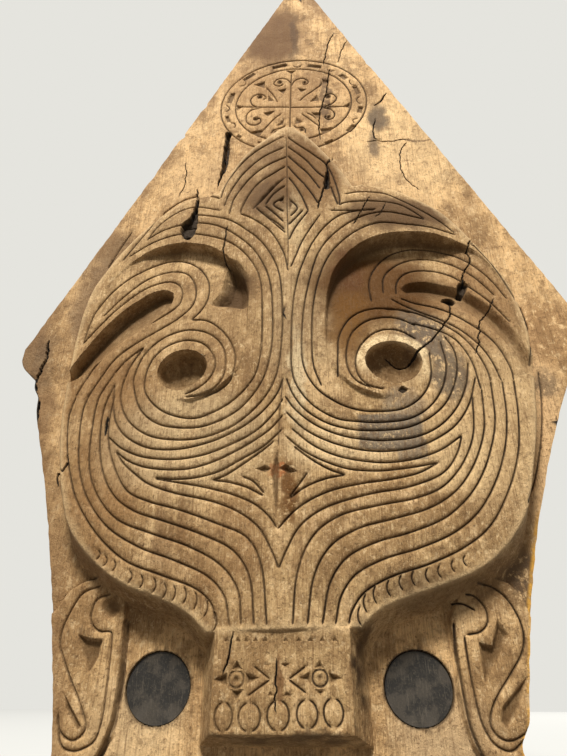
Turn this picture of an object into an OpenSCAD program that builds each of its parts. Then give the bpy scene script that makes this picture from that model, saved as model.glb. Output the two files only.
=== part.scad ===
// Carved roof finial: one thick kite-shaped plank with a mask in high relief,
// a chip-carved medallion above it, a scroll panel on each side of the neck
// and two round inlays. The origin is on the flat back, on the centre line,
// level with the two side corners. The front faces -Y and +Z is up.

/* [Plank] */
// Thickness of the plank behind the relief
board_t = 34; // [24:1:50]
// Distance from the left side corner to the centre line
corner_left = 299; // [240:1:360]
// Distance from the right side corner to the centre line
corner_right = 320; // [240:1:366]
// Height of the top point above the side corners
peak_h = 783; // [640:1:950]
// Sideways lean of the top point
peak_lean = 21; // [0:1:40]
// Length of the tapered tail below the side corners
tail_h = 425; // [350:1:520]
// Width of the tail where it is cut off flat
tail_w = 356; // [290:1:430]

/* [Mask] */
// Half of the width of the mask across the cheeks
mask_half_w = 236; // [195:1:285]
// Height of the mask from the chin to the shoulders
mask_h = 508; // [420:1:610]
// Sideways shift of the mask's middle
mask_shift = 7; // [0:1:20]
// Relief of the nose ridge above the plank
ridge_relief = 44; // [34:1:52]
// Relief at the rim of the cheeks and shoulders
rim_relief = 26; // [18:1:30]
// Slope of the mask's side walls, as an outward step at the foot
wall_batter = 11; // [4:1:16]
// Height of the pointed crown above the shoulders
crown_h = 86; // [60:1:110]
// Half of the width of the crown at its foot
crown_half_w = 84; // [66:1:100]

/* [Eyes] */
// Depth of the step under the brow
brow_step = 20; // [12:1:26]
// Radius of each eye disc
eye_disc_r = 43; // [36:1:48]
// How far the eye disc stands out of its socket
eye_disc_rise = 3; // [1:0.5:6]
// Radius of each eye hole
eye_hole_r = 24; // [18:0.5:29]
// Depth of each eye hole
eye_hole_depth = 22; // [12:1:28]
// Depth of the comma-shaped slot beside the left eye
slot_depth = 16; // [8:1:22]

/* [Carved lines] */
// Number of long lines that sweep down each cheek
cheek_lines = 7; // [3:1:9]
// Number of lines over each brow
brow_lines = 3; // [1:1:4]
// Number of nested points on the crown
crown_lines = 4; // [2:1:5]
// Width of the carved lines on the mask
groove_w = 3; // [2:0.5:4]
// Depth of the carved lines on the mask
groove_depth = 2; // [1:0.5:3]

/* [Neck block] */
// Distance from the cut end up to the neck block
neck_foot = 61; // [45:1:80]
// Height of the neck block's face
neck_h = 67; // [56:1:80]
// Width of the neck block's face
neck_w = 104; // [86:1:126]
// Relief of the neck block's face
neck_relief = 38; // [30:1:44]
// Outward step of the neck block's sloping sides
neck_batter = 14; // [4:1:18]

/* [Inlays] */
// Diameter of each round inlay
disc_d = 52; // [42:0.5:63]
// Thickness of each inlay
disc_t = 8; // [5:0.5:12]
// Distance between the centres of the two inlays
disc_spacing = 208; // [196:1:222]
// How far the inlay's face lies below the plank's face
disc_sunk = 1.5; // [0.5:0.1:4]
// Gap round each inlay
disc_gap = 0.8; // [0.3:0.1:1.5]

/* [Medallion] */
// Radius of the outer ring
ring_r = 108; // [90:1:118]
// Width of the band between the two rings
ring_band = 21; // [16:1:26]
// Distance from the crown's tip up to the outer ring
ring_gap = 17; // [10:1:30]
// Width of a carved line
line_w = 3; // [2:0.5:4]
// Depth of a carved line
line_depth = 2.5; // [1:0.5:4]
// Depth of a chip
chip_depth = 4; // [2:0.5:6]

/* [Side scrolls] */
// Distance from the centre line to the upright slot beside the inlay
scroll_x = 139; // [132:1:146]
// Width of that slot
scroll_slot_w = 5; // [3:0.5:7]
// Depth of that slot
scroll_slot_depth = 10; // [5:1:16]
// How far the scroll panels stand above the plank round the inlays
scroll_rise = 7; // [2:1:10]

/* [Hidden] */
sink = 2;                                  // how far the relief is rooted in the plank
cut_y = -tail_h;
neck_y0 = cut_y + neck_foot;
neck_y1 = neck_y0 + neck_h;
chin_y = neck_y1;
shoulder_y = chin_y + mask_h;
crown_y = shoulder_y + crown_h;
brow_y = chin_y + 0.82 * mask_h;
ring_x = mask_shift + 3;
ring_y = crown_y + ring_gap + ring_r;
disc_y = neck_y0 + neck_h * 0.43;
eye_x = 104;                               // eye centre beside the mask's middle
eye_y = chin_y + 241;
eye_slope = 0.1;                           // the socket floor comes forward as it goes down
eye_tilt = atan(eye_slope);
slot_y = chin_y + 338;
spline_steps = 4;

// Height of the mask's rim and ridge at level t, from the chin (0) to the shoulders (1)
function rim_at(t) = t < 0.12 ? rim_relief + 10 * (1 - t / 0.12) : rim_relief - 2 * t;
function ridge_at(t) = ridge_relief - 4 * pow(1 - t, 2);

// Smooth curve through a row of points
function spline(p, n) = [
    for (i = [0 : len(p) - 2]) for (k = [0 : n - 1])
        let (t = k / n, a = p[max(i - 1, 0)], b = p[i], c = p[i + 1], d = p[min(i + 2, len(p) - 1)])
        0.5 * (2 * b + (c - a) * t + (2 * a - 5 * b + 4 * c - d) * t * t
               + (3 * b - a - 3 * c + d) * t * t * t),
    p[len(p) - 1]
];

// Half width of the mask at level t, in shares of mask_half_w
cheek_curve = spline([
    [0, 0.26], [0.03, 0.37], [0.055, 0.53], [0.085, 0.655], [0.11, 0.75], [0.17, 0.86],
    [0.27, 0.94], [0.38, 0.985], [0.5, 1.02], [0.62, 1.01], [0.75, 0.955], [0.85, 0.855],
    [0.93, 0.72], [0.98, 0.56], [1, 0.4]
], spline_steps);
// Half width of the crown at level t, from its foot (0) to its tip (1), in shares of crown_half_w
crown_curve = spline([[-0.6, 0.8], [0, 1], [0.35, 0.82], [0.65, 0.5], [0.85, 0.24], [1, 0.03]], 3);
// Half width of the tail at level t, from the corners (0) to the cut end (1), as a share of the taper
function tail_share(t) = pow(1 - t, 1.4);

// Height of the mask and of the crown above the plank at a place on the front
function over(x, x_mid, half, rim, ridge, bulge) =
    rim + (ridge - rim) * (1 - pow(min(1, abs(x - x_mid) / half), bulge));
function mask_at(x, y) =
    let (t = min(1, max(0, (y - chin_y) / mask_h)))
    over(x, mask_shift * min(1, 4 * t), mask_half_w * lookup(t, cheek_curve), rim_at(t), ridge_at(t), 1.5);
function crown_at(x, y) =
    let (t = (y - shoulder_y) / crown_h)
    t < -0.6 ? 0 : over(x, mask_shift - 2, crown_half_w * lookup(t, crown_curve),
                        ridge_relief - 16 + 12 * max(t, 0), ridge_relief, 1);
function relief_at(x, y) = max(mask_at(x, y), abs(x - mask_shift + 2) < crown_half_w ? crown_at(x, y) : 0);

board_outline = concat(
    [[peak_lean, peak_h]],
    [for (k = [0 : 12]) [-(tail_w / 2 + (corner_left - tail_w / 2) * tail_share(k / 12)), -tail_h * k / 12]],
    [for (k = [12 : -1 : 0]) [tail_w / 2 + (corner_right - tail_w / 2) * tail_share(k / 12), -tail_h * k / 12]]
);

// Closed solid under a grid of [x, y, height] rows, widened by batter at its foot
module blanket(rows, batter) {
    m = len(rows);
    n = len(rows[0]);
    mid = n / 2 - 0.5;
    y_mid = (rows[0][0][1] + rows[m - 1][0][1]) / 2;
    y_half = abs(rows[m - 1][0][1] - rows[0][0][1]) / 2;
    top = [for (r = rows) for (q = r) q];
    foot = [for (r = rows) for (j = [0 : n - 1])
        [r[j][0] + batter * (j - mid) / mid, r[j][1] + batter * (r[j][1] - y_mid) / y_half, -sink]];
    all_points = concat(top, foot);
    b = m * n;
    top_faces = [for (i = [0 : m - 2]) for (j = [0 : n - 2])
        let (a = i * n + j) each [[a, a + n, a + n + 1], [a, a + n + 1, a + 1]]];
    foot_faces = [for (i = [0 : m - 2]) for (j = [0 : n - 2])
        let (a = b + i * n + j) each [[a, a + n + 1, a + n], [a, a + 1, a + n + 1]]];
    side_faces = [for (i = [0 : m - 2]) each
        [[i * n, b + (i + 1) * n, (i + 1) * n], [i * n, b + i * n, b + (i + 1) * n],
         [i * n + n - 1, (i + 1) * n + n - 1, b + (i + 1) * n + n - 1],
         [i * n + n - 1, b + (i + 1) * n + n - 1, b + i * n + n - 1]]];
    last = (m - 1) * n;
    end_faces = [for (j = [0 : n - 2]) each
        [[j, j + 1, b + j + 1], [j, b + j + 1, b + j],
         [last + j, b + last + j + 1, last + j + 1], [last + j, b + last + j, b + last + j + 1]]];
    polyhedron(all_points, concat(top_faces, foot_faces, side_faces, end_faces), convexity = 6);
}

// One level of the relief: from the left rim over the ridge to the right rim
function level(x_mid, y, half, rim, ridge, bulge) = [
    for (s = [-1, -0.85, -0.65, -0.45, -0.22, 0, 0.22, 0.45, 0.65, 0.85, 1])
        [x_mid + half * s, y, rim + (ridge - rim) * (1 - pow(abs(s), bulge))]
];

// Everything on the front is drawn flat, with +Y up and +Z out of the plank
module on_face() {
    translate([0, -board_t, 0]) rotate([90, 0, 0]) children();
}

module pocket(depth, top) {
    translate([0, 0, top - depth]) linear_extrude(depth + 1) children();
}

// Outline of a line of width w along a row of points
module stroke(p, w) {
    last = len(p) - 1;
    normals = [for (i = [0 : last])
        let (d = p[min(i + 1, last)] - p[max(i - 1, 0)]) [-d[1], d[0]] / norm(d)];
    polygon(concat(
        [for (i = [0 : last]) p[i] + normals[i] * w / 2],
        [for (i = [last : -1 : 0]) p[i] - normals[i] * w / 2]
    ));
}

// Line of V-shaped section cut into the relief along a row of points
module groove(p) {
    last = len(p) - 1;
    ring = [for (i = [0 : last])
        let (d = p[min(i + 1, last)] - p[max(i - 1, 0)],
             n = [-d[1], d[0]] / norm(d) * groove_w / 2,
             h = relief_at(p[i][0], p[i][1]))
        each [[p[i][0] + n[0], p[i][1] + n[1], h + 0.7], [p[i][0] - n[0], p[i][1] - n[1], h + 0.7],
              [p[i][0], p[i][1], h - groove_depth]]];
    sides = [for (i = [0 : last - 1]) let (a = 3 * i, b = a + 1, c = a + 2) each
        [[a, a + 3, b + 3], [a, b + 3, b], [a + 3, a, c], [a + 3, c, c + 3], [b, b + 3, c + 3], [b, c + 3, c]]];
    polyhedron(ring, concat(sides, [[0, 1, 2], [3 * last + 1, 3 * last, 3 * last + 2]]), convexity = 6);
}

// Long lines that start beside the eye, sweep down the cheek and turn down to the chin
module cheek_carving(side) {
    outer = [[0.93, 200], [0.92, 158], [0.86, 114], [0.76, 82], [0.62, 61], [0.47, 48], [0.33, 37], [0.25, 20], [0.235, 4]];
    inner = [[0.74, 215], [0.69, 165], [0.58, 138], [0.43, 124], [0.28, 114], [0.16, 98], [0.08, 72], [0.05, 40], [0.04, 4]];
    for (k = [0 : cheek_lines - 1])
        let (f = k / max(1, cheek_lines - 1),
             row = [for (i = [0 : len(outer) - 1]) (1 - f) * outer[i] + f * inner[i]])
            groove([for (q = spline(row, 2))
                [mask_shift * 0.6 + side * mask_half_w * q[0], chin_y + mask_h * q[1] / 508]]);
}

// Lines that follow one brow from the nose to the shoulder
module brow_carving(x, half_w, side) {
    for (k = [1 : brow_lines])
        let (r = half_w + 12 * k)
            groove([for (a = [-10 : 12 : 130 - 8 * k])
                [x - side * r * cos(a), brow_y - half_w + r * sin(a)]]);
}

// Nested points on the crown
module crown_carving() {
    x_mid = mask_shift - 2;
    for (k = [1 : crown_lines])
        let (foot = crown_half_w - 11 * k, y0 = shoulder_y - 4 - 10 * k, y1 = crown_y + 4 - 18 * k)
            for (side = [-1, 1])
                groove([for (f = [0 : 0.2 : 1])
                    [x_mid + side * foot * cos(90 * f), y0 + (y1 - y0) * pow(f, 0.9)]]);
}

module plank() {
    translate([0, 0, -board_t]) linear_extrude(board_t) polygon(board_outline);
}

module mask_body() {
    blanket([for (q = cheek_curve)
        level(mask_shift * min(1, 4 * q[0]), chin_y + mask_h * q[0], mask_half_w * q[1],
              rim_at(q[0]), ridge_at(q[0]), 1.5)], wall_batter);
}

module crown() {
    blanket([for (q = crown_curve)
        level(mask_shift - 2, shoulder_y + crown_h * q[0], crown_half_w * q[1],
              ridge_relief - 16 + 12 * max(q[0], 0), ridge_relief, 1)], 2);
}

// The round-headed hollow under one brow, its floor coming forward towards the cheek
module socket(x, half_w) {
    floor_h = ridge_at(0.8) - 6 - brow_step;
    reach = brow_y - eye_y + 60;
    intersection() {
        translate([x, brow_y - half_w, -sink]) union() {
            cylinder(r = half_w, h = ridge_relief + 10, $fn = 96);
            translate([-half_w, -reach + half_w, 0]) cube([2 * half_w, reach - half_w, ridge_relief + 10]);
        }
        translate([x, brow_y, floor_h]) rotate([-eye_tilt, 0, 0])
            translate([-2 * half_w, -2 * reach, 0]) cube([4 * half_w, 3 * reach, ridge_relief]);
    }
}

module eye_disc(side) {
    floor_h = ridge_at(0.8) - 6 - brow_step + eye_slope * (brow_y - eye_y);
    translate([mask_shift * 0.5 + side * eye_x, eye_y, floor_h + eye_disc_rise]) rotate([-eye_tilt, 0, 0])
        translate([0, 0, -24]) cylinder(r = eye_disc_r, h = 24, $fn = 96);
}

module eye_hole(side) {
    floor_h = ridge_at(0.8) - 6 - brow_step + eye_slope * (brow_y - eye_y) + eye_disc_rise;
    translate([mask_shift * 0.5 + side * eye_x, eye_y, floor_h - eye_hole_depth]) rotate([-eye_tilt, 0, 0])
        cylinder(r = eye_hole_r, h = eye_hole_depth + 20, $fn = 96);
}

// Comma-shaped slot that curls round the outside of an eye
module eye_slot(side, length, depth) {
    outer = spline([[-0.51, -72], [-0.46, -36], [-0.38, -4], [-0.26, 22], [-0.12, 36], [0, 32]], 4);
    inner = spline([[0, 32], [-0.05, 16], [-0.18, 6], [-0.32, -16], [-0.45, -46], [-0.51, -72]], 4);
    points = [for (q = concat(outer, inner)) [q[0] * length, q[1] * length / 200]];
    translate([mask_shift + side * 133, slot_y, 0]) mirror([side > 0 ? 1 : 0, 0, 0])
        pocket(depth + 20, 32) polygon(points);
}

module mask() {
    difference() {
        union() {
            difference() {
                union() {
                    mask_body();
                    crown();
                }
                socket(mask_shift - 127, 86);
                socket(mask_shift + 134, 94);
            }
            eye_disc(-1);
            eye_disc(1);
        }
        eye_hole(-1);
        eye_hole(1);
        eye_slot(-1, 200, slot_depth - 12);
        for (side = [-1, 1]) cheek_carving(side);
        brow_carving(mask_shift - 127, 86, -1);
        brow_carving(mask_shift + 134, 94, 1);
        crown_carving();
        chin_star();
        crown_chip();
    }
}

// Four-petal star between the cheeks
module chin_star() {
    star_y = chin_y + 143;
    translate([mask_shift - 14, star_y, 0]) for (k = [0 : 3]) rotate(90 * k)
        pocket(chip_depth, ridge_relief - 1)
            polygon([[2, 0], [8, 4], [k == 3 ? 50 : 18, 0], [8, -4]]);
}

// Diamond sunk where the crown's nested points meet
module crown_chip() {
    for (k = [1 : 3])
        translate([mask_shift - 2, shoulder_y - 38, 0])
            pocket(line_depth * k, ridge_relief - 2)
                polygon([[-22 + 5 * k, 0], [0, 44 - 9 * k], [22 - 5 * k, 0], [0, -44 + 9 * k]]);
}

module neck_block() {
    hull() {
        translate([-neck_w / 2, neck_y0, 0]) cube([neck_w, neck_h + 6, neck_relief]);
        translate([-neck_w / 2 - neck_batter, neck_y0 - neck_batter * 0.6, -sink])
            cube([neck_w + 2 * neck_batter, neck_h + neck_batter * 0.6, 0.5]);
    }
}

module neck_carving() {
    row_step = neck_w / 11;
    for (k = [-5 : 5]) if (k != 0)
        translate([k * row_step, neck_y1 - 9, 0]) pocket(1.5, neck_relief)
            polygon([[-2.5, 0], [2.5, 0], [0, 4.5]]);
    for (side = [-1, 1]) translate([side * neck_w * 0.29, neck_y0 + neck_h * 0.54, 0]) {
        pocket(2, neck_relief) polygon([[-12, 0], [0, 8], [12, 0], [0, -8]]);
        translate([0, 0, neck_relief - 5]) cylinder(r = 2.5, h = 6, $fn = 32);
    }
    for (k = [-2 : 2]) translate([k * neck_w * 0.18, neck_y0 + neck_h * 0.2, neck_relief])
        rotate_extrude($fn = 48) polygon([[5.2, 0.5], [6.8, 0.5], [6, -1.5]]);
}

// Ring of V-shaped section sunk in the plank's face
module ring_groove(r) {
    rotate_extrude($fn = 128)
        polygon([[r - line_w / 2, 0.2], [r - line_w / 2, 0], [r, -line_depth], [r + line_w / 2, 0],
                 [r + line_w / 2, 0.2]]);
}

module medallion() {
    inner_r = ring_r - ring_band;
    translate([ring_x, ring_y, 0]) {
        ring_groove(ring_r);
        ring_groove(inner_r);
        for (k = [0 : 10]) rotate(-62 + 31.5 * k) translate([inner_r + ring_band / 2, 0, 0])
            pocket(chip_depth, 0) square([9, 18], center = true);
        for (k = [0 : 3]) rotate(90 * k - 4) {
            pocket(line_depth, 0) translate([6, -line_w / 4]) square([inner_r - 14, line_w / 2]);
            pocket(chip_depth, 0) polygon([[inner_r - 4, 5], [inner_r - 12, 0], [inner_r - 4, -5]]);
            rotate(45) pocket(line_depth, 0) translate([18, -line_w / 4]) square([inner_r - 44, line_w / 2]);
            rotate(45) pocket(chip_depth, 0) polygon([[inner_r - 28, 0], [inner_r - 12, 9], [inner_r - 12, -9]]);
            for (side = [-1, 1]) {
                rotate(22 * side) translate([58, 0, 1 - chip_depth]) cylinder(r = 4, h = chip_depth, $fn = 32);
                rotate(22 * side) pocket(chip_depth, 0) polygon([[24, 0], [36, 6], [36, -6]]);
            }
        }
    }
}

// Places drawings for one side panel, which are made for the right one
module at_scroll(side) {
    translate([side * scroll_x, disc_y - 4, 0]) mirror([side > 0 ? 0 : 1, 0, 0]) children();
}

// Raised panel from the slot beside the inlay out to the plank's edge
module scroll_panel(side) {
    rim = spline([[110, 66], [66, 66], [60, 76], [46, 87], [28, 89], [12, 82], [2, 70]], 4);
    inner = spline([[-0.5, 56], [-2, 24], [-3, -6], [-1, -30], [6, -42], [20, -52]], 4);
    intersection() {
        at_scroll(side) translate([0, 0, -sink]) linear_extrude(scroll_rise + sink)
            polygon(concat(rim, inner, [[110, -52]]));
        translate([0, 0, -sink]) linear_extrude(scroll_rise + sink) polygon(board_outline);
    }
}

// Hooked slot, leaf and drop on one side panel
module side_scroll(side) {
    hook = spline([[14, 78], [8, 70], [6, 58], [6, 10], [5, -20], [12, -36]], 4);
    leaf = [[20, 58], [26, 46], [34, 50], [40, 56], [38, 28], [32, 20], [22, 42]];
    drop = spline([[22, 10], [30, -8], [38, -26], [30, -36], [22, -26], [22, 10]], 4);
    at_scroll(side) {
        pocket(scroll_slot_depth, scroll_rise) stroke(hook, scroll_slot_w);
        translate([20, 68, scroll_rise - 6]) cylinder(r = 5, h = 9, $fn = 48);
        pocket(chip_depth, scroll_rise) polygon(leaf);
        pocket(line_depth, scroll_rise) polygon(drop);
    }
}

module disc_socket(side) {
    translate([side * disc_spacing / 2, disc_y, -disc_t - disc_sunk])
        cylinder(d = disc_d + 2 * disc_gap, h = disc_t + disc_sunk + 1, $fn = 96);
}

module carved_board() {
    color("peru") on_face() difference() {
        union() {
            plank();
            mask();
            neck_block();
            scroll_panel(-1);
            scroll_panel(1);
        }
        neck_carving();
        medallion();
        side_scroll(-1);
        side_scroll(1);
        disc_socket(-1);
        disc_socket(1);
    }
}

// Round dark inlay that rests on the floor of its socket
module inlay_disc(side) {
    color("dimgray") on_face()
        translate([side * disc_spacing / 2, disc_y, -disc_t - disc_sunk]) cylinder(d = disc_d, h = disc_t, $fn = 96);
}

module inlay_disc_left() {
    inlay_disc(-1);
}

module inlay_disc_right() {
    inlay_disc(1);
}

carved_board();
inlay_disc_left();
inlay_disc_right();
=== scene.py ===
"""Looks of a carved wooden roof finial: the relief board, its two round inlays and a plain studio.

Lengths in the carving functions are millimetres. x runs to the viewer's right from the centre line,
y runs up from the level of the inlays' centres and h is the height above the plank's face.
"""

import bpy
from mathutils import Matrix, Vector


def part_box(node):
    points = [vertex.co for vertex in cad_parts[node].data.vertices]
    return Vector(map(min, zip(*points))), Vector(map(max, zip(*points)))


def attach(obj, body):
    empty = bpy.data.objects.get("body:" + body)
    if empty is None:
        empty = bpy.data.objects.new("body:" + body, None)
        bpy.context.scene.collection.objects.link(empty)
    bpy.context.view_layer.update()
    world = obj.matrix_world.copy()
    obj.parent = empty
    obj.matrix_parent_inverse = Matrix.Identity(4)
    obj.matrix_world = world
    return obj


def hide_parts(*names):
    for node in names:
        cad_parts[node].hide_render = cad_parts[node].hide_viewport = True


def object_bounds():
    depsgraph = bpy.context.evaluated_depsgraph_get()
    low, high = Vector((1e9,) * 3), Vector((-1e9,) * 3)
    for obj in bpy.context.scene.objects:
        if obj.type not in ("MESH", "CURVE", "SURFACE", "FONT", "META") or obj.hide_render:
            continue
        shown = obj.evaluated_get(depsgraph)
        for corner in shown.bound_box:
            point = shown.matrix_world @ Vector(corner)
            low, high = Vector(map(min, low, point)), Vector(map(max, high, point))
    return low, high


bl_info = {
    "name": "Carved Roof Finial",
    "version": (1, 0, 0),
    "blender": (4, 5, 0),
    "location": "View3D > Sidebar > Finial",
    "description": "Builds the looks of a carved wooden roof finial around its CAD frame",
    "category": "Object",
}

import math

import bmesh
import bpy
import numpy as np
from mathutils import Matrix, Vector
from mathutils.kdtree import KDTree

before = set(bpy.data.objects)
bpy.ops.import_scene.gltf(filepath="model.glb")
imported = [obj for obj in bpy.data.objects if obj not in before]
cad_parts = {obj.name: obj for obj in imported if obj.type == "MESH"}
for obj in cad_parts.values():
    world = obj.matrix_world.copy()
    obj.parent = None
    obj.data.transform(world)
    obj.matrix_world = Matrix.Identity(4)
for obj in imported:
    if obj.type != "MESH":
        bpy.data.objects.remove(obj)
CAD_LOW, CAD_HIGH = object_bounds()
MM = 0.001
PLANK_T = 34.0                                    # plank thickness behind the relief

# ---------------------------------------------------------------- places taken from the frame
INLAY_LOW, INLAY_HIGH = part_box("inlay_disc_left")
INLAY_X = round(-(INLAY_LOW[0] + INLAY_HIGH[0]) / 2 / MM, 3)
SOCKET_R = round((INLAY_HIGH[0] - INLAY_LOW[0]) / 2 / MM, 3) + 0.8
Y0 = (INLAY_LOW[2] + INLAY_HIGH[2]) / 2 / MM      # height in the frame of the level where y is 0
TOP_H = -CAD_LOW[1] / MM - PLANK_T - 0.15         # highest relief, just inside the CAD box
PEAK_Y = CAD_HIGH[2] / MM - Y0
CUT_Y = CAD_LOW[2] / MM - Y0
CORNER_Y = -Y0
LEFT_X, RIGHT_X = CAD_LOW[0] / MM, CAD_HIGH[0] / MM

# ---------------------------------------------------------------- the board's own sizes
PEAK_X = 21.0
TAIL_HALF = 178.0                                 # half width of the plank where it is sawn off
BLUNT = 0.6                                       # half width of the worn peak
SOCKET_DEPTH = 9.8                                # depth of the sockets in which the inlays are set
FINE_LOW_Y, FINE_HIGH_Y = -62.0, 930.0            # the mesh is fine between these, and uncut above
EYE = np.array([38.7, -6.0])                      # sight point of the cartoon, in front of the plank
EYE_H = 500.0
CARTOON_H = 40.0                                  # height of the plane on which the cartoon is drawn
# Chips in the plank's edges: height, half width and depth
LEFT_CHIPS = [(296, 9, 6), (272, 12, 5), (694, 5, 4), (762, 7, 2.5), (612, 9, 2)]
RIGHT_CHIPS = [(842, 6, 2), (-38, 11, 7)]


# ---------------------------------------------------------------- small numeric helpers
def smooth(t):
    """Smooth step of t from 0 to 1."""
    t = np.clip(t, 0.0, 1.0)
    return t * t * (3 - 2 * t)


def bump_at(y, centre, width):
    """Rounded bump of height 1."""
    return np.exp(-((y - centre) / width) ** 2)


def curve(points, step=0.4):
    """Catmull-Rom curve through points, sampled about every step millimetres."""
    p = np.asarray(points, float)
    p = np.vstack([2 * p[0] - p[1], p, 2 * p[-1] - p[-2]])
    out = []
    for a, b, c, d in zip(p, p[1:], p[2:], p[3:]):
        n = max(2, int(np.hypot(*(c - b)[:2]) / step))
        t = np.linspace(0, 1, n, endpoint=False)[:, None]
        out.append(0.5 * (2 * b + (c - a) * t + (2 * a - 5 * b + 4 * c - d) * t * t
                          + (3 * b - a - 3 * c + d) * t ** 3))
    out.append(p[-2][None])
    return np.vstack(out)


def closed(points, step):
    """Smooth outline that starts and ends at the first of the points."""
    return curve(np.vstack([points, points[:1]]), step)[:-1]


def ellipse(x, y, rx, ry, angles):
    """Points of an ellipse at the given angles."""
    return np.c_[x + rx * np.cos(angles), y + ry * np.sin(angles)]


def close_to(outline, x, y, spare=0.0):
    """True for points inside the outline's bounding box, widened by spare."""
    low, high = outline.min(0) - spare, outline.max(0) + spare
    return (x > low[0]) & (x < high[0]) & (y > low[1]) & (y < high[1])


def inside_distance(outline, x, y):
    """Distance from the closed outline, positive inside it."""
    best = np.full(x.shape, 1e9)
    odd = np.zeros(x.shape, bool)
    for (ax, ay), (bx, by) in zip(outline, np.roll(outline, -1, axis=0)):
        ex, ey = bx - ax, by - ay
        wx, wy = x - ax, y - ay
        t = np.clip((wx * ex + wy * ey) / (ex * ex + ey * ey + 1e-12), 0, 1)
        best = np.minimum(best, (wx - t * ex) ** 2 + (wy - t * ey) ** 2)
        if ay != by:
            odd ^= ((ay > y) != (by > y)) & (x < ex * (y - ay) / ey + ax)
    return np.where(odd, 1.0, -1.0) * np.sqrt(best)


def nearest_on(outline, x, y, reach):
    """Distance to a closed outline and the nearest point of it, for points close to it."""
    best = np.full(x.shape, 1e9)
    nx, ny = x.copy(), y.copy()
    for (ax, ay), (bx, by) in zip(outline, np.roll(outline, -1, axis=0)):
        ok = ((x > min(ax, bx) - reach) & (x < max(ax, bx) + reach)
              & (y > min(ay, by) - reach) & (y < max(ay, by) + reach))
        if not ok.any():
            continue
        ex, ey = bx - ax, by - ay
        wx, wy = x[ok] - ax, y[ok] - ay
        t = np.clip((wx * ex + wy * ey) / (ex * ex + ey * ey + 1e-12), 0, 1)
        away = np.hypot(wx - t * ex, wy - t * ey)
        closer = away < best[ok]
        index = np.flatnonzero(ok)[closer]
        best[index] = away[closer]
        nx[index] = ax + t[closer] * ex
        ny[index] = ay + t[closer] * ey
    return best, nx, ny


def noise(x, y, size, seed):
    """Smooth value noise between -1 and 1 with cells of the given size."""
    grid = np.random.default_rng(seed).uniform(-1, 1, (64, 64))
    u, v = np.asarray(x) / size + 1000.0, np.asarray(y) / size + 1000.0
    i, j = np.floor(u).astype(int), np.floor(v).astype(int)
    fu, fv = smooth(u - i), smooth(v - j)
    i0, i1, j0, j1 = i % 64, (i + 1) % 64, j % 64, (j + 1) % 64
    low = grid[i0, j0] * (1 - fu) + grid[i1, j0] * fu
    high = grid[i0, j1] * (1 - fu) + grid[i1, j1] * fu
    return low * (1 - fv) + high * fv


def sight(points, h, drawn=CARTOON_H):
    """Carries points drawn at one height along their sight lines to height h above the plank."""
    share = (EYE_H - np.asarray(h, float)) / (EYE_H - drawn)
    return EYE + (np.asarray(points, float) - EYE) * share[..., None]


def on_panel(points):
    """Carries points drawn on the plank's face up to a side panel."""
    return sight(points, PANEL_H, drawn=0.0)


def carried(points, height):
    """Carries cartoon points along their sight lines on to the surface given by height."""
    q = sight(points, 38.0)
    for _ in range(4):
        q = sight(points, height(q[:, 0], q[:, 1]))
    return q


def between(guides, count):
    """Lines spaced evenly from the first guide over the middle ones to the last."""
    guides = [np.asarray(g, float) for g in guides]
    lines = []
    for k in range(count):
        f = k / (count - 1) * (len(guides) - 1)
        i = min(int(f), len(guides) - 2)
        lines.append(guides[i] + (guides[i + 1] - guides[i]) * (f - i))
    return lines


# ---------------------------------------------------------------- the large form of the relief
MASK_LEFT = curve([(-61, 37), (-70, 46), (-83, 55), (-107, 65), (-135, 75), (-165, 95), (-190, 120),
                   (-203, 146), (-213, 179), (-222, 226), (-225, 264), (-227, 335), (-222, 390),
                   (-208, 428), (-193, 457), (-174, 485), (-150, 514), (-122, 535), (-103, 541),
                   (-83, 534)], 6)
CROWN = curve([(-83, 534), (-74, 555), (-62, 581), (-46, 605), (-24, 624), (4, 641), (26, 626), (42, 607),
               (60, 580), (73, 557), (84, 533)], 5)
MASK_RIGHT = curve([(84, 533), (107, 541), (135, 530), (165, 508), (188, 484), (208, 450), (224, 418),
                    (239, 380), (246, 333), (246, 290), (238, 240), (231, 204), (219, 164), (209, 135),
                    (193, 111), (174, 93), (154, 81), (128, 71), (97, 61), (75, 52), (61, 40)], 6)
MASK = np.vstack([MASK_LEFT, CROWN[1:-1], MASK_RIGHT])
MASK_MID = 5.0
CHIN_Y, SHOULDER_Y = 38.0, 541.0
CROWN_FOOT_Y = 440.0
RIM_H, RIDGE_H = 26.0, 43.5                       # height of the mask at its rim and along its middle

EYE_LEFT, EYE_RIGHT = np.array([-102.0, 278.0]), np.array([108.0, 278.0])
# Eye holes: centre, half width, half height and seed
EYE_HOLES = ((EYE_LEFT, 25.5, 23.5, 5), (EYE_RIGHT, 27.5, 24.5, 6))
EYE_HOLE_DEPTH = 21.0
COLLAR = (-52.5, 51.5, -29.5, 40.5)               # left, right, bottom and top of the neck block's face
COLLAR_H = 37.0
PANEL_H = 7.0
PANEL_LEFT = [(-215, -55), (-214, 48), (-202, 62), (-194, 76), (-181, 84), (-165, 86), (-150, 76),
              (-140, 66), (-138.5, 52), (-137, 20), (-136.5, -18), (-139, -34), (-146, -46), (-160, -55)]
PANEL_RIGHT = [(215, -55), (215, 45), (201, 52), (198, 66), (188, 78), (172, 84), (157, 79), (143, 66),
               (135, 50), (136, 20), (134, -2), (136, -22), (140, -38), (150, -50), (160, -55)]


def bare_edge(y, corner_x, tail_x, bend):
    """Edge of the unworn plank at height y, straight above its corner and curved below."""
    up = np.clip((y - CORNER_Y) / (PEAK_Y - CORNER_Y), 0, 1)
    down = np.clip((CORNER_Y - y) / (CORNER_Y - CUT_Y), 0, 1)
    low = tail_x + (corner_x - tail_x) * (1 - down) ** bend
    return np.where(y > CORNER_Y, corner_x + (PEAK_X - corner_x) * up, low)


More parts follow.
